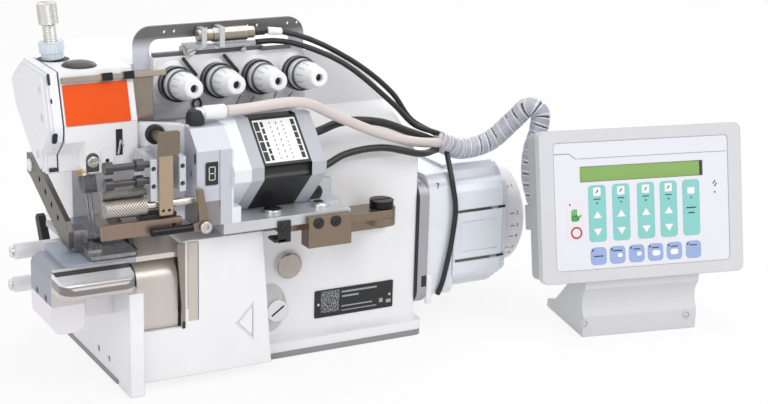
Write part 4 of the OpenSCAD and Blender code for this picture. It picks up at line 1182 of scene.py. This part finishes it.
class OVERLOCK_OT_drive(bpy.types.Operator):
    """Slots, marks and screws of the servo drive, its wheel and the panel's stand"""

    bl_idname = "overlock.drive"
    bl_label = "Servo drive"

    def execute(self, context):
        right, face, slots = 262, -0.6, (52.8, 95.2)
        bars = [strip(left(right + 40, face, z), left(right + 72, face, z), 1.9, 0.3) for z in slots]
        settle(bars, "slot_bars", "frame", "dark_steel")
        ends = [strip(left(right + 78.5, face, z), left(right + 85.5, face, z), 1.9, 0.3) for z in slots]
        ends += [put(tile(4.6, 9.6, 0.1, 0.3), front(right + 8.2, -2, 40)),
                 strip(left(right + 18.2, 0, 122), left(right + 20.6, 0, 121.4), 0.8, 0.06),
                 strip(left(right + 20.4, 0, 121.6), left(right + 19.4, 0, 117.4), 0.8, 0.06)]
        settle(ends, "slot_ends", "frame", "shadow")
        clip = block((5.6, 2.4, 25), soft=0.6)
        settle(put(clip, front(right + 14.4, 0.4, 31.5) @ spin(90, "X")), "cable_clip", "frame", "casting")
        marks, radius = [], 44
        for number, around in enumerate((43, 12, -2, -15, -31, -42), 1):
            c, s = math.cos(math.radians(around)), math.sin(math.radians(around))
            for shape, x in ((numeral(number, 3.2), 106.2), (tile(4.2, 0.7, 0.12), 101.2)):
                at = left(right + x, 55 - radius * c, 74 + radius * s)
                marks.append(put(shape, facing(at, (0, -c, s), (0, s, c))))
        settle(marks, "wheel_marks", "drive", "wine_mark")
        ring = carve(turned([(3.6, 0), (3.6, 0.3), (3.1, 0.6)], 28), turned([(2.3, 0.2), (2.3, 2)], 24))
        rings = copies(ring, [PANEL_FOOT @ shift(x, 0, 12) @ spin(90, "X") for x in (-49.8, 42.2)])
        settle(rings, "stand_screws", "frame", "panel")
        return {"FINISHED"}


class OVERLOCK_PT_sidebar(bpy.types.Panel):
    """Lists the machine's steps, colours and sizes"""

    bl_idname = "OVERLOCK_PT_sidebar"
    bl_label = "Overlock machine"
    bl_space_type = "VIEW_3D"
    bl_region_type = "UI"
    bl_category = "Overlock"

    def draw(self, context):
        for step in STEPS:
            self.layout.operator(step.bl_idname)
        for group in (context.scene.overlock_colours, context.scene.overlock_sizes):
            for name in group.__annotations__:
                self.layout.prop(group, name)


STEPS = [OVERLOCK_OT_finishes, OVERLOCK_OT_stage, OVERLOCK_OT_cables, OVERLOCK_OT_head, OVERLOCK_OT_tension,
         OVERLOCK_OT_bed, OVERLOCK_OT_feeder, OVERLOCK_OT_drive, OVERLOCK_OT_keypad]
CLASSES = [OverlockColours, OverlockSizes, *STEPS, OVERLOCK_PT_sidebar]


def register():
    for cls in CLASSES:
        bpy.utils.register_class(cls)
    bpy.types.Scene.overlock_colours = bpy.props.PointerProperty(type=OverlockColours)
    bpy.types.Scene.overlock_sizes = bpy.props.PointerProperty(type=OverlockSizes)


def unregister():
    del bpy.types.Scene.overlock_colours, bpy.types.Scene.overlock_sizes
    for cls in reversed(CLASSES):
        bpy.utils.unregister_class(cls)


def main():
    register()
    bpy.ops.overlock.finishes()
    bpy.ops.overlock.stage()
    bpy.ops.overlock.cables()
    bpy.ops.overlock.head()
    bpy.ops.overlock.tension()
    bpy.ops.overlock.bed()
    bpy.ops.overlock.feeder()
    bpy.ops.overlock.drive()
    bpy.ops.overlock.keypad()


if __name__ == "__main__":
    main()
